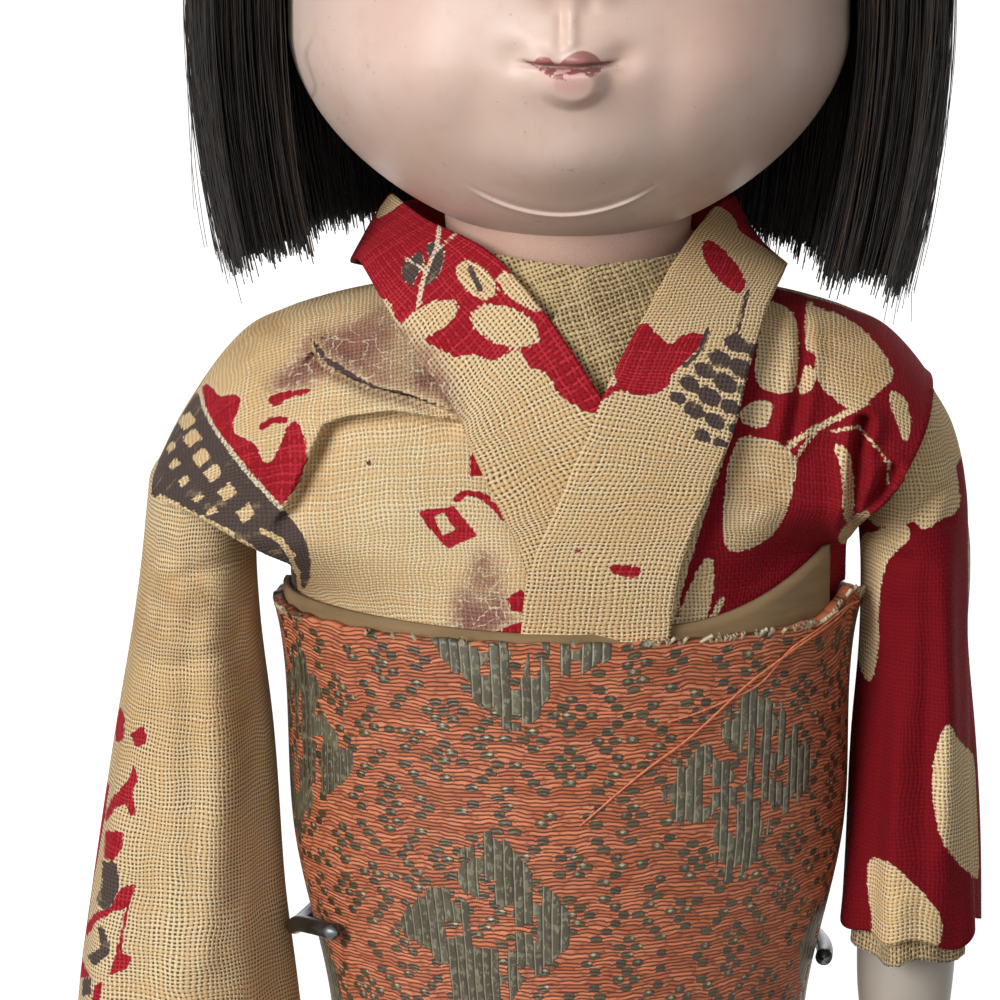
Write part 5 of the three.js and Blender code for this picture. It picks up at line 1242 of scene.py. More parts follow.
def brocade_cloth(name):
    """Orange floats in rows, with flecks of gilt strip in nested diamonds and flowers where the mesh marks them."""
    made, tree, shader = material(name, 0.6)
    place = thread_place(tree)
    wander = split(noise(place, 0.13, 3, "Color"))
    across, along, _ = split(place)
    tall = (along + (wander[1] - 0.5) * 0.5) / FLECK_HEIGHT
    level = tall.floor()
    wide = (across + (wander[2] - 0.5) * 0.8) / FLECK_WIDTH + level * 0.5
    cell = wide.floor()
    home = (cell + 0.5 - level * 0.5) * (FLECK_WIDTH / DIAMOND_WIDTH)
    home_up = (level + 0.5) * (FLECK_HEIGHT / DIAMOND_HEIGHT)
    nested = abs((home.off_middle() + home_up.off_middle()) * 2 - 1)
    luck = white_noise(cell * 7.31 + level * 3.17)
    line = (0.135 - abs(nested - 0.30)).over(0)
    fleck_here = line.at_least(nested.over(0.66)) * luck.over(0.1)
    aside = (wide.fract() - 0.5 + (luck - 0.5) * 0.25) / (luck * 0.1 + 0.32)
    above = (tall.fract() - 0.5 + (wander[0] - 0.5) * 0.3) / 0.48
    fleck = fleck_here * (1 - (abs(aside) ** 3 + abs(above) ** 3)).rise(0, 0.35)
    glint = white_noise(luck * 57)
    shine = abs(aside - (glint * 2.4 - 1.6)) + abs(above - 0.35) * 0.8
    shine = (0.62 - shine).rise(0, 0.4) * glint.over(0.5) * (luck * 0.7 + 0.2)
    row = (along + (wander[0] - 0.5) * 2.2 + wide.off_middle() * 0.34 * (fleck_here * 0.6 + 0.4)) / FLOAT_PITCH
    row_luck = white_noise(row.floor())
    length = (across + row_luck * 9) / FLOAT_LENGTH
    silk_luck = white_noise(length.floor() + row_luck * 91)
    thin = (row * 3).fract() * 0.3
    silk = (1 - (row.off_middle() * 2) ** 3 - thin) * (1 - (length.off_middle() * 2) ** 6 * 0.45)
    strip = across / STRIP_WIDTH + (wander[1] - 0.5) * 0.6
    strip_luck = white_noise(strip.floor() + (along / STRIP_LENGTH).floor() * 13)
    flower = (mark(tree, "flower") + (strip_luck - 0.5) * 2.6 + (wander[2] - 0.5) * 1.2 - 0.1).rise(-0.06, 0.06)
    strip_height = 1 - (strip.off_middle() * 2) ** 4
    orange = tint((silk_luck * 0.7 + wander[2] * 0.4).rise(0.2, 0.9), ORANGE_FLOAT, ORANGE_SHADE)
    colour = tint((silk * 1.25 - 0.12).at_least(0).at_most(1), ORANGE_GAP, orange)
    colour = tint(fleck, colour, tint(shine, tint(luck, GILT_DULL, GILT_STRIP), GILT_BRIGHT))
    rubbed = noise(place.stretched((1, 0.35, 1)), 2.4, 4)
    wrinkle = noise(place, 1.1, 4).rise(0.54, 0.6) * 0.35
    bare = (rubbed.rise(0.56, 0.66) * 0.6).at_least(wrinkle)
    petal = tint(bare, tint(strip_luck, FLOWER_STRIP, GILT_DULL), FLOWER_BARE_AND_HIGHLIGHT)
    petal = tint(strip_height.rise(0.1, 0.5), GILT_DULL, petal)
    # Painted highlight: a pale line down one edge of each gilt strip.
    petal = tint((0.09 - abs(strip.fract() - 0.14)).rise(0, 0.05) * 0.6, petal, FLOWER_BARE_AND_HIGHLIGHT)
    plug(shader.inputs["Base Color"], tint(flower, colour, petal))
    plug(shader.inputs["Roughness"], 0.62 - fleck.at_least(flower) * 0.2)
    plug(shader.inputs["Metallic"], fleck * shine * 0.2)
    lifted = silk * 0.55 + fleck * 0.5
    lifted = lifted + flower * (strip_height * 0.5 + 0.35 - lifted)
    relief(shader, lifted, 0.4, 0.8)
    return made


def flower_marks(across, up):
    """Depth in millimetres inside the four petals of the nearest flower."""
    depth = np.full(np.shape(across), -9.0)
    for x, z in FLOWERS:
        for lobe_x, lobe_z in FLOWER_LOBES:
            aside, above = across - x - lobe_x, up - z - lobe_z
            lobe = (1 - (np.abs(aside / 4.5) ** 1.3 + np.abs(above / 5.0) ** 1.3) ** (1 / 1.3)) * 4.3
            size = math.hypot(lobe_x, lobe_z)
            inward = -(aside * lobe_x + above * lobe_z) / size
            slit = np.abs(aside * lobe_z - above * lobe_x) / size - 0.7
            depth = np.maximum(depth, np.where(inward > -0.4, np.minimum(lobe, slit), lobe))
    return depth


board = mottled("old cardboard", 0.9, BOARD_DARK, BOARD_LIGHT, (0.15, 0.15, 1), 0.9, 0.1)
brocade = brocade_cloth("gilt brocade")


def round_body(angle, z, out):
    """Points round the body at angles and heights, that far outside it."""
    return points_of((body_width(z) + out) * np.cos(angle), (body_depth(z) + out) * np.sin(angle), z)


def corner_lift(angle):
    """How far the obi's top edge stands up where its corner has worked loose."""
    return OBI_CORNER_LIFT * swell(angle, OBI_CORNER_ANGLE, OBI_CORNER_WIDTH)


tie_points = round_body(circle(120), np.linspace(*TIE_LEVELS, 6)[:, None], TIE_OUT)
tie = grid_piece("gauze_waist_tie", tie_points, gauze, closed=True, uv=thread_map(tie_points), thick=0.7)
fit(tie, "torso", "limb_cloth", "waist_tie")

board_angle = np.linspace(*BOARD_ENDS, 200)
board_top = BOARD_TOP_Z + flow(BOARD_RISE_X, BOARD_RISE)(np.cos(board_angle))
board_top = np.where(board_angle > BOARD_SHORT_FROM, BOARD_SHORT_TOP_Z, board_top)
board_z = BOARD_BOTTOM_Z + np.linspace(0, 1, 40)[:, None] * (board_top - BOARD_BOTTOM_Z)
board_points = round_body(board_angle, np.minimum(board_z, BOARD_WIDEST_Z), BOARD_OUT)
board_points[..., 2] = board_z
obi_board = grid_piece("cardboard_obi_board", board_points, board, thick=0.8)
fit(obi_board, "torso", "board", "obi_board")

obi_angle = math.pi / 2 + circle(360)
obi_z = np.linspace(OBI_BOTTOM_Z, OBI_TOP_Z, 90)[:, None]
slack = 0.35 * np.cos(5 * obi_angle + 1) * ease(OBI_TOP_Z - obi_z, 2, 30)
obi_points = round_body(obi_angle, obi_z, OBI_OUT + slack)
obi_points[..., 2] += ease(obi_z, 255, OBI_TOP_Z) * (corner_lift(obi_angle) + 0.12 * np.sin(37 * obi_angle))
obi_uv = thread_map(obi_points)
obi_uv[..., 0] -= obi_uv[0, -1, 0] / 2
obi_uv[..., 1] += OBI_BOTTOM_Z
obi_marks = {"flower": flower_marks(obi_uv[:, :-1, 0], obi_uv[:, :-1, 1])}
obi = grid_piece("brocade_obi", obi_points, brocade, closed=True, uv=obi_uv, marks=obi_marks, thick=1.2)
fit(obi, "torso", "obi_brocade", "obi_band")

silk_thread, silk_tree, silk_shader = material("orange silk", 0.5)
silk_twist = noise(place_on_piece(silk_tree), 2.0, 3)
plug(silk_shader.inputs["Base Color"], tint(silk_twist.rise(0.3, 0.7), ORANGE_SHADE, ORANGE_FLOAT))
relief(silk_shader, silk_twist, 0.05)
gilt_paper = mottled("gilt paper ends", 0.5, GILT_STRIP, GILT_BRIGHT, (1, 1, 0.3), 0.8, 0.03)
loose = []
for route in FRAYED_THREADS:
    steps = np.linspace(0, len(route) - 1, 60)
    drawn = flow(np.arange(len(route)), np.array(route, float))(steps)
    face = []
    for px, py in drawn:
        y = -20.0
        for _ in range(6):
            x, z = seen_at(px, py, y)[::2]
            z = min(z, OBI_TOP_Z + 1)
            half_width, half_depth = body_width(z) + OBI_OUT + LOOSE_OUT, body_depth(z) + OBI_OUT + LOOSE_OUT
            y = -half_depth * math.sqrt(max(1 - (x / half_width) ** 2, 0))
        face.append((x, y, z))
    loose.append(face)
loose = np.array(loose)
doubled = np.concatenate([loose, loose[:1] + (0.25, 0, 0.3) * np.sin(np.linspace(0, 3.1, 60))[None, :, None]])
frayed = mesh_piece("loose_silk_threads", *tubes(doubled, 0.14, 5), silk_thread)
fray_angle = np.concatenate([chance.uniform(4.9, 6.15, 44), chance.uniform(3.3, 4.9, 12)])
fray_size = chance.uniform(0.3, 1.0, len(fray_angle))
fray_top = OBI_TOP_Z + corner_lift(fray_angle)
fray_root = round_body(fray_angle, OBI_TOP_Z, OBI_OUT - 0.3)
fray_root[:, 2] = fray_top - 0.5
fray_tip = round_body(fray_angle + chance.normal(0, 0.02, len(fray_angle)), OBI_TOP_Z, OBI_OUT + LOOSE_OUT)
fray_tip[:, 2] = fray_top + fray_size * 0.55
fray_paths = fray_root[:, None] + np.linspace(0, 1, 3)[None, :, None] * (fray_tip - fray_root)[:, None]
gilt_ends = mesh_piece("gilt_strip_ends", *tubes(fray_paths, 0.28, 4), gilt_paper)
for piece in (frayed, gilt_ends):
    fit(piece, "torso", "obi_brocade")

# Obi bow at the back: a padded knot, two flattened loops and two tails of the same brocade, stitched to the band.
# Each is a folded strip, so the loops stay hollow and the tails hang free.
LOOP_LENGTH = 25.0
LOOP_DEPTH = 11.0
LOOP_START_X = 7.8
LOOP_BOTTOM_Z = 242.0
LOOP_TOP_Z = 266.0
BOW_Y = 31.4
BOW_THICKNESS = 0.9
KNOT_HALF_WIDTH = 7.4
KNOT_HALF_DEPTH = 4.4
KNOT_Y = 30.4
KNOT_BOTTOM_Z = 242.2
KNOT_HEIGHT = 19.6
KNOT_SQUARENESS = 3.5
TAIL_WIDTH = 20.0
TAIL_X = 8.4
TAIL_SPREAD = 3.6
TAIL_Y = 30.0
TAIL_TOP_Z = 241.5
TAIL_BOTTOM_Z = 200.5


def brocade_piece(name, points, closed, shift, thick, flip, *nodes):
    """A piece of the bow, with its own cut of the flowers."""
    uv = thread_map(points, closed)
    place = uv[:, :-1] if closed else uv
    marks = {"flower": flower_marks(place[..., 0] + shift[0], place[..., 1] + shift[1])}
    piece = grid_piece(name, points, brocade, closed=closed, uv=uv, marks=marks, thick=thick, flip=flip)
    fit(piece, "torso", "obi_brocade", *nodes)
    return piece


round_loop = circle(96)
loop_up = np.linspace(-0.5, 0.5, 34)[:, None]
toward_knot = ease(-np.cos(round_loop), 0.2, 1)
loop_y = BOW_Y + LOOP_DEPTH / 2 * np.sin(round_loop) * (1 - loop_up**2) * (1 - 0.3 * toward_knot)
loop_z = (LOOP_BOTTOM_Z + LOOP_TOP_Z) / 2 + loop_up * (LOOP_TOP_Z - LOOP_BOTTOM_Z) * (1 - 0.45 * toward_knot)
tail_across = np.linspace(-1, 1, 40)[None, :]
tail_down = np.linspace(0, 1, 70)[:, None]
tail_width = TAIL_WIDTH / 2 * (0.55 + 0.45 * ease(tail_down, 0, 0.35))
tail_wave = np.sin(2.6 * tail_across * (1 - 0.4 * tail_down) + 3 * tail_down) * (1 - 0.3 * tail_down)
for side, where in SIDES:
    loop_points = points_of(side * (LOOP_START_X + LOOP_LENGTH / 2 + LOOP_LENGTH / 2 * np.cos(round_loop)), loop_y,
                            loop_z + 0.35 * np.sin(4 * round_loop + side))
    loop = brocade_piece(f"brocade_loop_{where}", loop_points, True, (-30, 236), BOW_THICKNESS, side < 0,
                         f"obi_loop_{where}")
    tail_points = points_of(side * (TAIL_X + TAIL_SPREAD * tail_down + tail_width * tail_across),
                            TAIL_Y + 0.7 * tail_wave, TAIL_TOP_Z - tail_down * (TAIL_TOP_Z - TAIL_BOTTOM_Z))
    tail = brocade_piece(f"brocade_tail_{where}", tail_points, False, (30, 214), BOW_THICKNESS, side < 0,
                         f"obi_tail_{where}")

knot_up = np.linspace(0, 1, 40)[:, None]
knot_turn = circle(72)
knot_crown = np.sin(math.pi * np.clip(knot_up, 0.02, 0.98)) ** 0.35
knot_corners = np.abs(np.cos(knot_turn)) ** KNOT_SQUARENESS + np.abs(np.sin(knot_turn)) ** KNOT_SQUARENESS
knot_gather = 1 + 0.025 * np.cos(14 * knot_turn) * (1 - knot_crown + 0.3)
knot_size = knot_crown * knot_gather * knot_corners ** (-1 / KNOT_SQUARENESS)
knot_points = points_of(KNOT_HALF_WIDTH * knot_size * np.cos(knot_turn),
                        KNOT_Y + KNOT_HALF_DEPTH * knot_size * np.sin(knot_turn), KNOT_BOTTOM_Z + KNOT_HEIGHT * knot_up)
knot = brocade_piece("brocade_knot", knot_points, True, (-24, 238), 0.0, False, "obi_knot")

# Waist clip: a length of round spring-steel wire, bent to a C that grips the obi from behind. Its two ends come round
# to the front and are rounded off on a stone.
CLIP_WIRE_RADIUS = 1.0
CLIP_RIGHT_END = math.radians(-10)
CLIP_LEFT_END = math.radians(216)
CLIP_MIDDLE_Z = 226.8
CLIP_END_RISE = 2.8
CLIP_TIP_RISE = 2.6
CLIP_STEEL_DARK = 0x34363A
CLIP_STEEL_LIGHT = 0x6A6D72
CLIP_GAP = 0.6
CLIP_LEFT_OUT = 0.9
CLIP_LEFT_DROP = 1.2
CLIP_ROUND_SHARE = 0.006
clip_share = np.linspace(0, 1, 150)
clip_angle = CLIP_RIGHT_END + (CLIP_LEFT_END - CLIP_RIGHT_END) * clip_share
toward_left = ease(clip_angle, 2.6, math.pi)
clip_dip = ease(clip_angle, 2.2, 2.9) * (1 - ease(clip_angle, 2.9, 3.5))
clip_z = CLIP_MIDDLE_Z - CLIP_END_RISE * np.cos(clip_angle) - CLIP_LEFT_DROP * toward_left
clip_z += CLIP_TIP_RISE * (ease(clip_angle, math.pi, CLIP_LEFT_END) - 0.9 * clip_dip)
clip_path = round_body(clip_angle, clip_z, OBI_OUT + CLIP_GAP + CLIP_WIRE_RADIUS + CLIP_LEFT_OUT * toward_left)
clip_steel = mottled("dark spring steel", 0.36, CLIP_STEEL_DARK, CLIP_STEEL_LIGHT, (0.2, 1, 1), 3.0, 0.02, metallic=1.0)
from_end = np.minimum(clip_share, 1 - clip_share) / CLIP_ROUND_SHARE
clip_taper = np.sqrt(np.clip(1 - np.maximum(1 - from_end, 0) ** 2, 0.02, 1))
clip = mesh_piece("steel_waist_clip", *tubes(clip_path[None], CLIP_WIRE_RADIUS, 16, clip_taper), clip_steel)
fit(clip, "torso", "spring_steel", "waist_clip")

# Head: two pressed halves of wood paste glued at the ears, coated with many layers of powdered shell in glue and
# polished. The brows and lips are painted on, the eyes are glass set from behind, and the neck is a plug in the
# chest's neck hole.
LIP_RED = 0xA33E42
LIP_DARK = 0x7E3236
LIP_WORN = 0xF0C4BC
LIP_PINK = 0xDD9A90
MOUTH_DARK = 0x5C3431
BROW_INK = 0x5B4A44
CHEEK_BLUSH = 0xDDA898
HEAD_HALF_WIDTH = 32.6
FACE_DEPTH = 33.4
NAPE_DEPTH = 33.8
JAW_Z = 335.0
JAW_RISE = 25.2
JAW_FULLNESS = 1.72
NECK_SOIL = 0xBC9280
NECK_LEVELS = [285.2, 292, 300, 306, 312, 320]
NECK_RADII = [13.0, 13.2, 13.4, 13.8, 14.4, 15.0]
HEAD_THICKNESS = 1.4
CHIN_FOLD_X = -1.2
CHIN_FOLD_Z = 316.5
CHIN_FOLD_RISE = 3.5
CHIN_FOLD_HALF_WIDTH = 10.4
BROW_Z = 369.0
BROW_X = 13
SKULL_Z = 341.0
SKULL_RISE = 53.2
SKULL_FULLNESS = 2.4
NOSE_Z = 346.0
NOSTRIL_Z = 342.7
MOUTH_Z = 335.2
MOUTH_X = -0.3
EYE_X = 13.2
EYE_Z = 357.05
EYE_BALL_HALF_SIZES = (6.6, 1.6, 4.2)
EYE_Y = -27.0
EYE_SLANT = 0.47
EYE_HALF_LENGTH = 6.0
EYE_UPPER = 2.5
EYE_LOWER = 1.7
PUPIL_RADIUS = 1.5
IRIS_EDGE = (3.2, 3.35)
PUPIL_BLACK = 0x0A0808
IRIS_BROWN = 0x241510
EYE_WHITE = 0xE9E4DA


def face_relief(x, z):
    """How far the face stands out from the plain oval of the head, in millimetres."""
    side = np.abs(x)
    above_nostrils = ease(z, NOSTRIL_Z - 0.4, NOSTRIL_Z + 0.8)
    out = 2.9 * swell(x, 0.3, 3.0) * swell(z, NOSE_Z, 3.0) * above_nostrils
    out += 1.3 * swell(x, 0.2, 2.8) * ease(z, 345, 350) * (1 - ease(z, 356, 364))
    out += 1.3 * swell(side, 3.8, 1.9) * swell(z, 344.6, 1.7) * above_nostrils
    out -= 0.9 * swell(side, 2.1, 0.9) * swell(z, NOSTRIL_Z - 0.1, 0.6)
    philtrum = ease(z, 336.8, 338.0) * (1 - ease(z, 341.5, 342.7))
    out += philtrum * (0.55 * swell(x, -0.1, 0.75) - 0.35 * swell(x, -1.35, 0.5))
    out += 1.5 * swell(x, -0.4, 7.5) * swell(z, 335, 5.0)
    from_middle = x - MOUTH_X
    seam = MOUTH_Z + 0.02 * np.abs(from_middle) ** 1.5
    above, below = z - seam, seam - z
    lobes = 1.15 * swell(from_middle, 1.3, 2.0) + 0.9 * swell(from_middle, -3.2, 1.6)
    out += lobes * ease(above, 0.0, 0.5) * (1 - ease(above, 0.9, 2.4))
    out += 0.5 * swell(from_middle, -0.2, 4.5) * ease(above, 1.2, 2.2) * (1 - ease(above, 2.4, 4.5))
    pout = np.hypot((from_middle - 0.3) / 4.5, (below - 1.9) / 3.4)
    out += 1.7 * (1 - ease(pout, 0.45, 1.0)) * ease(below, -0.1, 0.9)
    out -= 0.8 * (1 - ease(np.abs(from_middle), 4.4, 6.2)) * swell(z, seam, 0.3)
    out -= 0.8 * swell(np.abs(from_middle), 6.0, 1.8) * swell(z, seam + 0.3, 1.7)
    out += 2.0 * swell(x, -0.5, 8.5) * swell(z, 323.6, 4.6)
    out += 1.5 * swell(side, 17.5, 7) * swell(z, 333, 8)
    out -= 0.5 * swell(side, 10.5, 2.6) * swell(z, 331, 6)
    out -= 1.2 * swell(side, EYE_X, 8) * swell(z, EYE_Z + 0.5, 4.5)
    out += 0.5 * swell(side, EYE_X, 8) * swell(z, EYE_Z + 7, 3)
    return out


def crease_distance(x, z):
    """Distance from the fold under the chin, and how much of it is there."""
    aside = x - CHIN_FOLD_X
    line = CHIN_FOLD_Z + CHIN_FOLD_RISE * (aside / CHIN_FOLD_HALF_WIDTH) ** 2
    return (z - line) * 0.95, 1 - ease(np.abs(aside), 7.0, 11.5)


def lid_lines(x):
    """Heights of the upper and lower lid where an eye is open, and how far along the eye that is."""
    along = np.clip((np.abs(x) - EYE_X) / EYE_HALF_LENGTH, -1, 1)
    bend = 1 - along**2
    return EYE_Z + 0.4 * along + EYE_UPPER * bend, EYE_Z + 0.4 * along - EYE_LOWER * bend, np.abs(along)


def painted_face():
    """Shell white with worn lip red, ink brows, a breath of blush, a painted highlight along the fold under the chin
    and a hairline crack.
    """
    made, tree, shader, colour = shell_white("shell white on the face")
    place = place_on_piece(tree)
    patch = noise(place, 0.5, 4)
    flake = noise(place, 1.25, 5)
    colour = tint(mark(tree, "blush") * 0.35, colour, CHEEK_BLUSH)
    lip = (mark(tree, "lip") + (patch - 0.5) * 0.5).rise(-0.12, 0.12)
    red = tint(patch.rise(0.35, 0.65), LIP_RED, LIP_DARK)
    chips = flake.rise(0.49, 0.52) * mark(tree, "wear_and_shade")
    colour = tint(lip * 0.8, colour, tint(chips, red, LIP_WORN))
    colour = tint(mark(tree, "pout") * 0.5, colour, LIP_PINK)
    colour = tint(mark(tree, "seam") * 0.75, colour, MOUTH_DARK)
    colour = tint(mark(tree, "brow") * patch.rise(0.25, 0.5) * 0.6, colour, BROW_INK)
    # Painted highlight: a pale line along the fold under the chin.
    colour = tint(mark(tree, "fold") * 0.75, colour, SHELL_WHITE_PALE)
    colour = tint(mark(tree, "crack") * 0.5, colour, SHELL_WHITE_STAIN)
    plug(shader.inputs["Base Color"], colour)
    return made


skull_lift = np.radians(np.concatenate([np.linspace(0, 86, 170)[:0:-1] * -1, np.linspace(0, 90, 90)]))[:, None]
lower = skull_lift < 0
roundness = 2 / np.where(lower, JAW_FULLNESS, SKULL_FULLNESS)
rise_share = np.sin(np.abs(skull_lift)) ** roundness
spread_share = np.cos(skull_lift).clip(0) ** roundness
head_z = np.where(lower, JAW_Z - JAW_RISE * rise_share, SKULL_Z + SKULL_RISE * rise_share)
between = np.linspace(JAW_Z, SKULL_Z, 22)[1:-1, None]
split_row = int(lower.sum())
head_z = np.concatenate([head_z[:split_row], between, head_z[split_row:]])
spread_share = np.concatenate([spread_share[:split_row], np.ones_like(between), spread_share[split_row:]])
column = np.linspace(-1, 1, 261)[:-1]
turn_from_face = math.pi * (0.35 * column + 0.65 * column**3)[None, :]
facing = np.cos(turn_from_face)
head_x = HEAD_HALF_WIDTH * spread_share * np.sin(turn_from_face)
head_y = np.where(facing > 0, -FACE_DEPTH, -NAPE_DEPTH) * spread_share * facing
head_z = np.broadcast_to(head_z, head_x.shape).copy()
on_face = ease(facing, 0.1, 0.6)
upper_lid, lower_lid, along_eye = lid_lines(head_x)
open_depth = np.where(along_eye < 1, np.minimum(upper_lid - head_z, head_z - lower_lid), -9)
near_lid = (facing > 0) & (along_eye < 0.97) & (np.abs(open_depth) < 0.5)
nearer_upper = np.abs(upper_lid - head_z) < np.abs(head_z - lower_lid)
head_z = np.where(near_lid, np.where(nearer_upper, upper_lid, lower_lid), head_z)
stand_out = on_face * face_relief(head_x, head_z)
fold_away, fold_here = crease_distance(head_x, head_z)
fold_here = fold_here * on_face
fold_shape = 0.1 * swell(fold_away, 1.0, 0.8) - 0.4 * swell(fold_away, 0.05, 0.25) + 0.45 * swell(fold_away, -0.4, 0.3)
stand_out += fold_here * fold_shape
lid_swell = 0.5 * swell(open_depth, -0.4, 0.7) * (facing > 0)
head_points = points_of(head_x * (1 + 0.2 * stand_out / FACE_DEPTH), head_y - stand_out - lid_swell, head_z)
quad_depth = (open_depth[:-1] + open_depth[1:]) / 2
quad_depth = (quad_depth + np.roll(quad_depth, -1, axis=1)) / 2
eye_hole = (quad_depth > 0.12) & (facing > 0.3)
from_mouth = head_x - MOUTH_X
mouth_seam = MOUTH_Z + 0.04 * np.abs(from_mouth) ** 1.3
lobe_height = np.maximum(1.8 * (1 - ((from_mouth - 1.2) / 2.6) ** 2), 1.1 * (1 - ((from_mouth + 2.8) / 1.1) ** 4))
upper_lip = np.minimum(lobe_height - (head_z - mouth_seam), head_z - mouth_seam + 0.3)
lower_lip = np.minimum(1.3 - (mouth_seam - head_z) - 0.06 * from_mouth**2, mouth_seam - head_z + 0.3)
lip_depth = np.where(facing > 0, np.maximum(upper_lip, lower_lip), -9)
brow_line = BROW_Z - 0.018 * (np.abs(head_x) - BROW_X) ** 2
cheeks = swell(np.abs(head_x), 19, 8) * swell(head_z, 340, 8)
nose_tip = swell(head_z, NOSE_Z, 4) * swell(head_x, 0, 4)
crack_x = -29.6 + 0.5 * np.sin(head_z * 0.9)
face_marks = {
    "lip": np.clip(lip_depth, -3, 3),
    "wear_and_shade": ease(mouth_seam - head_z, -0.1, 0.3),
    "pout": on_face * swell(from_mouth, 0.0, 2.4) * swell(head_z, mouth_seam - 1.9, 0.9),
    "seam": on_face * swell(head_z, mouth_seam, 0.28) * (1 - ease(np.abs(from_mouth), 4.2, 5.8)),
    "blush": on_face * (cheeks + 0.4 * nose_tip),
    "brow": on_face * swell(head_z, brow_line, 0.9) * ease(9 - np.abs(np.abs(head_x) - BROW_X), 0, 4),
    # painted highlight along the fold under the chin
    "fold": fold_here * swell(fold_away, -0.35, 0.28),
    "crack": (facing > 0) * swell(head_x, crack_x, 0.22) * ease(head_z, 322, 326) * (1 - ease(head_z, 333, 338)),
}
painted = painted_face()
head = grid_piece("shell_white_head", head_points, painted, closed=True, keep=~eye_hole, marks=face_marks,
                  thick=HEAD_THICKNESS)
fit(head, "head", "shell_white", "head_front", "head_back")

neck_white, neck_tree, neck_shader, neck_colour = shell_white("shell white on the neck")
neck_handling = noise(place_on_piece(neck_tree), 9.0, 3)
plug(neck_shader.inputs["Base Color"], tint(neck_handling.rise(-0.3, 0.9), neck_colour, NECK_SOIL))
neck = grid_piece("shell_white_neck", round_limb(NECK_LEVELS, NECK_RADII, 50, 80, 0.0, NECK_Y), neck_white, closed=True)
fit(neck, "head", "shell_white", "neck")

eye_glass, eye_tree, eye_shader = material("eye glass", 0.06)
eye_streak = noise(place_on_piece(eye_tree), 1.2, 4)
pupil_away = mark(eye_tree, "away")
eye_colour = tint((pupil_away + eye_streak * 0.2).rise(*IRIS_EDGE), IRIS_BROWN, EYE_WHITE)
plug(eye_shader.inputs["Base Color"], tint((PUPIL_RADIUS - pupil_away).rise(-0.05, 0.05), eye_colour, PUPIL_BLACK))
plug(eye_shader.inputs["Specular IOR Level"], 0.3)
plug(eye_shader.inputs["Coat Weight"], 0.25)
plug(eye_shader.inputs["Coat Roughness"], 0.05)
eye_lift = np.radians(np.linspace(0, 90, 40))[:, None]
eye_turn = circle(64)
ball_x = EYE_BALL_HALF_SIZES[0] * np.sin(eye_lift) * np.cos(eye_turn)
ball_z = EYE_BALL_HALF_SIZES[2] * np.sin(eye_lift) * np.sin(eye_turn)
for side, where in SIDES:
    ball_y = EYE_Y - EYE_BALL_HALF_SIZES[1] * np.cos(eye_lift) + side * EYE_SLANT * ball_x
    eye_points = points_of(side * EYE_X + ball_x, ball_y, EYE_Z + ball_z)
    eye = grid_piece(f"glass_eye_{where}", eye_points, eye_glass, closed=True, marks={"away": np.hypot(ball_x, ball_z)},
                     flip=True)
    fit(eye, "head", "eye_glass", f"eye_{where}")

# Hair: straight black silk floss glued to a dark cap in a bob, blunt at the jaw and cut to a fringe over the brows.
# The strands lie from the crown down over one another, and a few have worked loose.
HAIR_BLACK = 0x15110F
HAIR_SHEEN = 0x3B322B
HAIR_BROWN = 0x4A3524
HAIR_HALF_WIDTH = 44.0
HAIR_FRONT = 37.6
HAIR_BACK = 42.6
HAIR_BEND_Z = 341.0
HAIR_RISE = 58.4
HAIR_DROP = 33.5
HAIR_DRAWN_IN = 0.095
HAIR_FULLNESS = 2.5
HAIR_END_Z = 307.6
HAIR_END_SLOPE = 1.6
FRINGE_Z = 363.0
CROWN_Z = 399.39
CAP_BOTTOM_Z = 308.5
CAP_INSET = 1.2
UNDER_START_Z = 369.0
LOOSE_START_Z = 366.0
OVER_COUNT = 1500
UNDER_COUNT = 2300
FRINGE_COUNT = 1500
LOOSE_COUNTS = (40, 60)
STRAND_RADIUS = 0.10
LOOSE_RADIUS = 0.06
CURTAIN_FRONT = math.radians(19)


def hair_place(angle, z, depth):
    """A point of the hair at an angle round the head and a height, that far inside its face. Angle 0 is right."""
    high = np.clip((z - HAIR_BEND_Z) / HAIR_RISE, 0, 1)
    low = np.clip((HAIR_BEND_Z - z) / HAIR_DROP, 0, 1.1)
    dome = np.maximum(1 - high**HAIR_FULLNESS, 0) ** (1 / HAIR_FULLNESS)
    spread = np.where(z >= HAIR_BEND_Z, dome, 1 - HAIR_DRAWN_IN * low**2)
    half_depth = np.where(np.sin(angle) < 0, HAIR_FRONT, HAIR_BACK)
    x = np.maximum(HAIR_HALF_WIDTH * spread - depth, 0.2) * np.cos(angle)
    y = np.maximum(half_depth * spread - depth, 0.2) * np.sin(angle)
    return points_of(x, y, z)


def hair_end(angle):
    """Where the hair is cut: low round the sides and back, and at the brows in front."""
    return np.where(np.sin(angle) < -0.36, FRINGE_Z, HAIR_END_Z - HAIR_END_SLOPE * np.cos(angle))


hair, hair_tree, hair_shader = material("black floss", 0.38)
hair_luck = mark(hair_tree, "luck")
hair_streak = noise(place_on_piece(hair_tree).stretched((1, 1, 0.08)), 1.6, 4)
hair_colour = tint((hair_streak * 0.6 + hair_luck * 0.5).rise(0.35, 0.95), HAIR_BLACK, HAIR_SHEEN)
plug(hair_shader.inputs["Base Color"], tint(hair_luck.rise(0.955, 0.965), hair_colour, HAIR_BROWN))
plug(hair_shader.inputs["Specular IOR Level"], 0.32)
relief(hair_shader, hair_streak, 0.2)
cap_angle = circle(240)[None, :]
cap_share = np.concatenate([np.linspace(0, 0.55, 50), np.linspace(0.56, 1, 60)])[:, None]
cap_z = CROWN_Z - (CROWN_Z - CAP_BOTTOM_Z) * cap_share**1.8
cap_points = hair_place(cap_angle, cap_z, CAP_INSET)
cap_points[..., 2] -= 0.7 * ease(cap_z, 375, 396)
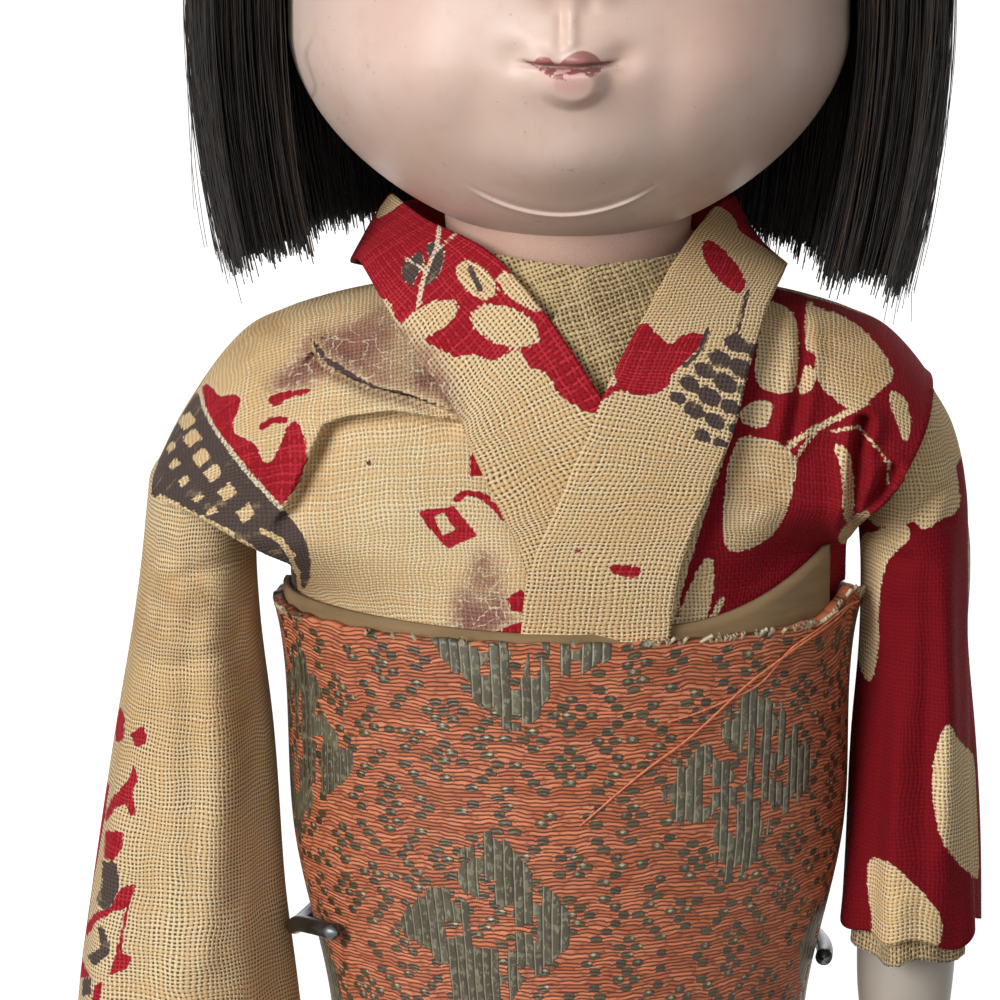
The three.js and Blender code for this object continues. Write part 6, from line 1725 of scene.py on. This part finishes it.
cap_middle_z = (cap_points[:-1, :, 2] + cap_points[1:, :, 2]) / 2
cap_front = np.sin(cap_angle + 0.013) < -0.1
cap_keep = ~(cap_front & (cap_middle_z < FRINGE_Z + 1.5))
cap = grid_piece("hair_cap", cap_points, hair, closed=True, keep=cap_keep, marks={"luck": 0 * cap_points[..., 2]},
                 thick=3.0, flip=True)
fit(cap, "head", "hair", "hair_crown", "hair_curtain", "hair_fringe")


def strands(angle, start_z, end_z, depth, steps, wander):
    """Paths of strands down from one height to another, with a slow wander. Those from the crown follow its round, and
    those with a depth below zero leave the hair's face little by little."""

    def draw(low, high):
        return chance.uniform(low, high, (len(angle), 1))

    share = np.linspace(0, 1, steps)[None, :]
    z = start_z + (end_z - start_z)[:, None] * share ** (2.0 if start_z == CROWN_Z else 1)
    sway = wander * np.sin(share * draw(2, 6) + draw(0, 6))
    swing = angle[:, None] + sway * share / 40
    inside = np.where(depth[:, None] < 0, share, 1) * depth[:, None] + 0.25 * np.sin(share * draw(3, 9) + draw(0, 6))
    return hair_place(swing, z, inside)


def hair_piece(name, paths, radius):
    points, faces = tubes(paths, radius, 3, np.linspace(1.0, 0.75, paths.shape[1]))
    luck = np.repeat(chance.uniform(0, 1, len(paths)), paths.shape[1] * 3)
    fit(mesh_piece(name, points, faces, hair, marks={"luck": luck}), "head", "hair")


for where, low_angle, high_angle, temple in (("left", math.pi / 2, math.pi + CURTAIN_FRONT, math.pi + 0.1),
                                             ("right", -CURTAIN_FRONT, math.pi / 2, -0.1)):
    outer = chance.uniform(low_angle, high_angle, OVER_COUNT)
    ends = hair_end(outer) + chance.normal(0.3, 1.0, OVER_COUNT)
    over = strands(outer, CROWN_Z, ends, np.abs(chance.normal(0, 0.5, OVER_COUNT)), 24, 1.6)
    hair_piece(f"hair_over_{where}", over, STRAND_RADIUS)
    filled = chance.uniform(low_angle, high_angle, UNDER_COUNT)
    ends = hair_end(filled) + chance.normal(0.8, 0.9, UNDER_COUNT)
    under = strands(filled, UNDER_START_Z, ends, chance.uniform(0.4, 9.5, UNDER_COUNT), 14, 1.2)
    hair_piece(f"hair_under_{where}", under, STRAND_RADIUS)
    stray = np.concatenate([chance.uniform(low_angle, high_angle, LOOSE_COUNTS[0]),
                            chance.normal(temple, 0.14, LOOSE_COUNTS[1])])
    ends = hair_end(stray) + chance.normal(1, 2.5, len(stray))
    wild = strands(stray, LOOSE_START_Z, ends, -np.abs(chance.normal(0.3, 0.8, len(stray))), 20, 5.0)
    hair_piece(f"hair_loose_{where}", wild, LOOSE_RADIUS)
front = chance.uniform(math.pi + CURTAIN_FRONT, TURN - CURTAIN_FRONT, FRINGE_COUNT)
ends = FRINGE_Z + chance.normal(0.2, 0.5, FRINGE_COUNT)
fringe = strands(front, CROWN_Z, ends, chance.uniform(0, 1.6, FRINGE_COUNT), 18, 0.9)
hair_piece("hair_fringe_strands", fringe, STRAND_RADIUS)

# Studio: a white paper floor, one broad lamp from the viewer's left, weak ones from the front and the back, and a
# weak sky. The camera looks slightly down at the chest, as the photo does, so that the crown and everything below the
# obi stay outside the frame.
PURE_WHITE = 0xFFFFFF
PAPER_WHITE = 0xF7F6F4
PAPER_SHADE = 0xEFEDEA
PAPER_BOUNCE = 0x6E6D6B
FLOOR_GLOW = 0.56
SKY_LIGHT = 0.17
LAMPS = [("key", 2.75, 30, (-0.65, -0.77, 0.36)), ("fill", 0.58, 60, (0.32, -0.93, 0.18)),
         ("back", 0.9, 60, (0.4, 0.85, 0.35))]
FLOOR_HALF_WIDTH = 9000.0
SENSOR_WIDTH = 36


def seen_directly(tree):
    """1 for what the camera sees, straight on or in gloss and glass, and 0 for light on its way to the object."""
    straight, gloss, through = [add_node(tree, "ShaderNodeLightPath", f"Is {kind} Ray", {})
                                for kind in ("Camera", "Glossy", "Transmission")]
    return straight.at_least(gloss).at_least(through)


paper, paper_tree, paper_shader = material("white paper", 0.9)
paper_fibre = noise(place_on_piece(paper_tree), 0.02, 3)
paper_seen = seen_directly(paper_tree)
plug(paper_shader.inputs["Base Color"], tint(paper_seen, PAPER_BOUNCE, tint(paper_fibre, PAPER_SHADE, PAPER_WHITE)))
plug(paper_shader.inputs["Emission Strength"], paper_seen * FLOOR_GLOW)
plug(paper_shader.inputs["Emission Color"], PURE_WHITE)
floor_corners = FLOOR_HALF_WIDTH * np.array([(-1, -1, 0), (1, -1, 0), (1, 1, 0), (-1, 1, 0)])
floor = mesh_piece("floor", floor_corners, [(0, 1, 2, 3)], paper)

world = bpy.data.worlds.new("sky")
world.use_nodes = True
scene.world = world
sky = world.node_tree.nodes["Background"]
plug(sky.inputs["Color"], PURE_WHITE)
plug(sky.inputs["Strength"], seen_directly(world.node_tree) * (1 - SKY_LIGHT) + SKY_LIGHT)
for name, strength, spread, comes_from in LAMPS:
    light = bpy.data.lights.new(name, "SUN")
    light.energy = strength
    light.angle = math.radians(spread)
    lamp = bpy.data.objects.new(name, light)
    lamp.rotation_euler = Vector(comes_from).to_track_quat("Z", "Y").to_euler()
    scene.collection.objects.link(lamp)

camera_data = bpy.data.cameras.new("camera")
camera_data.sensor_width = SENSOR_WIDTH
camera_data.lens = FOCAL_PIXELS * SENSOR_WIDTH / (2 * PHOTO_MIDDLE)
camera_data.clip_start = 0.05
camera = bpy.data.objects.new("camera", camera_data)
camera.location = spot(CAMERA_AIM[0], -CAMERA_DISTANCE * camera_cos, CAMERA_AIM[2] + CAMERA_DISTANCE * camera_sin)
camera.rotation_euler = (math.pi / 2 - CAMERA_PITCH, 0, 0)
scene.collection.objects.link(camera)
scene.camera = camera
scene.view_settings.view_transform = "Standard"
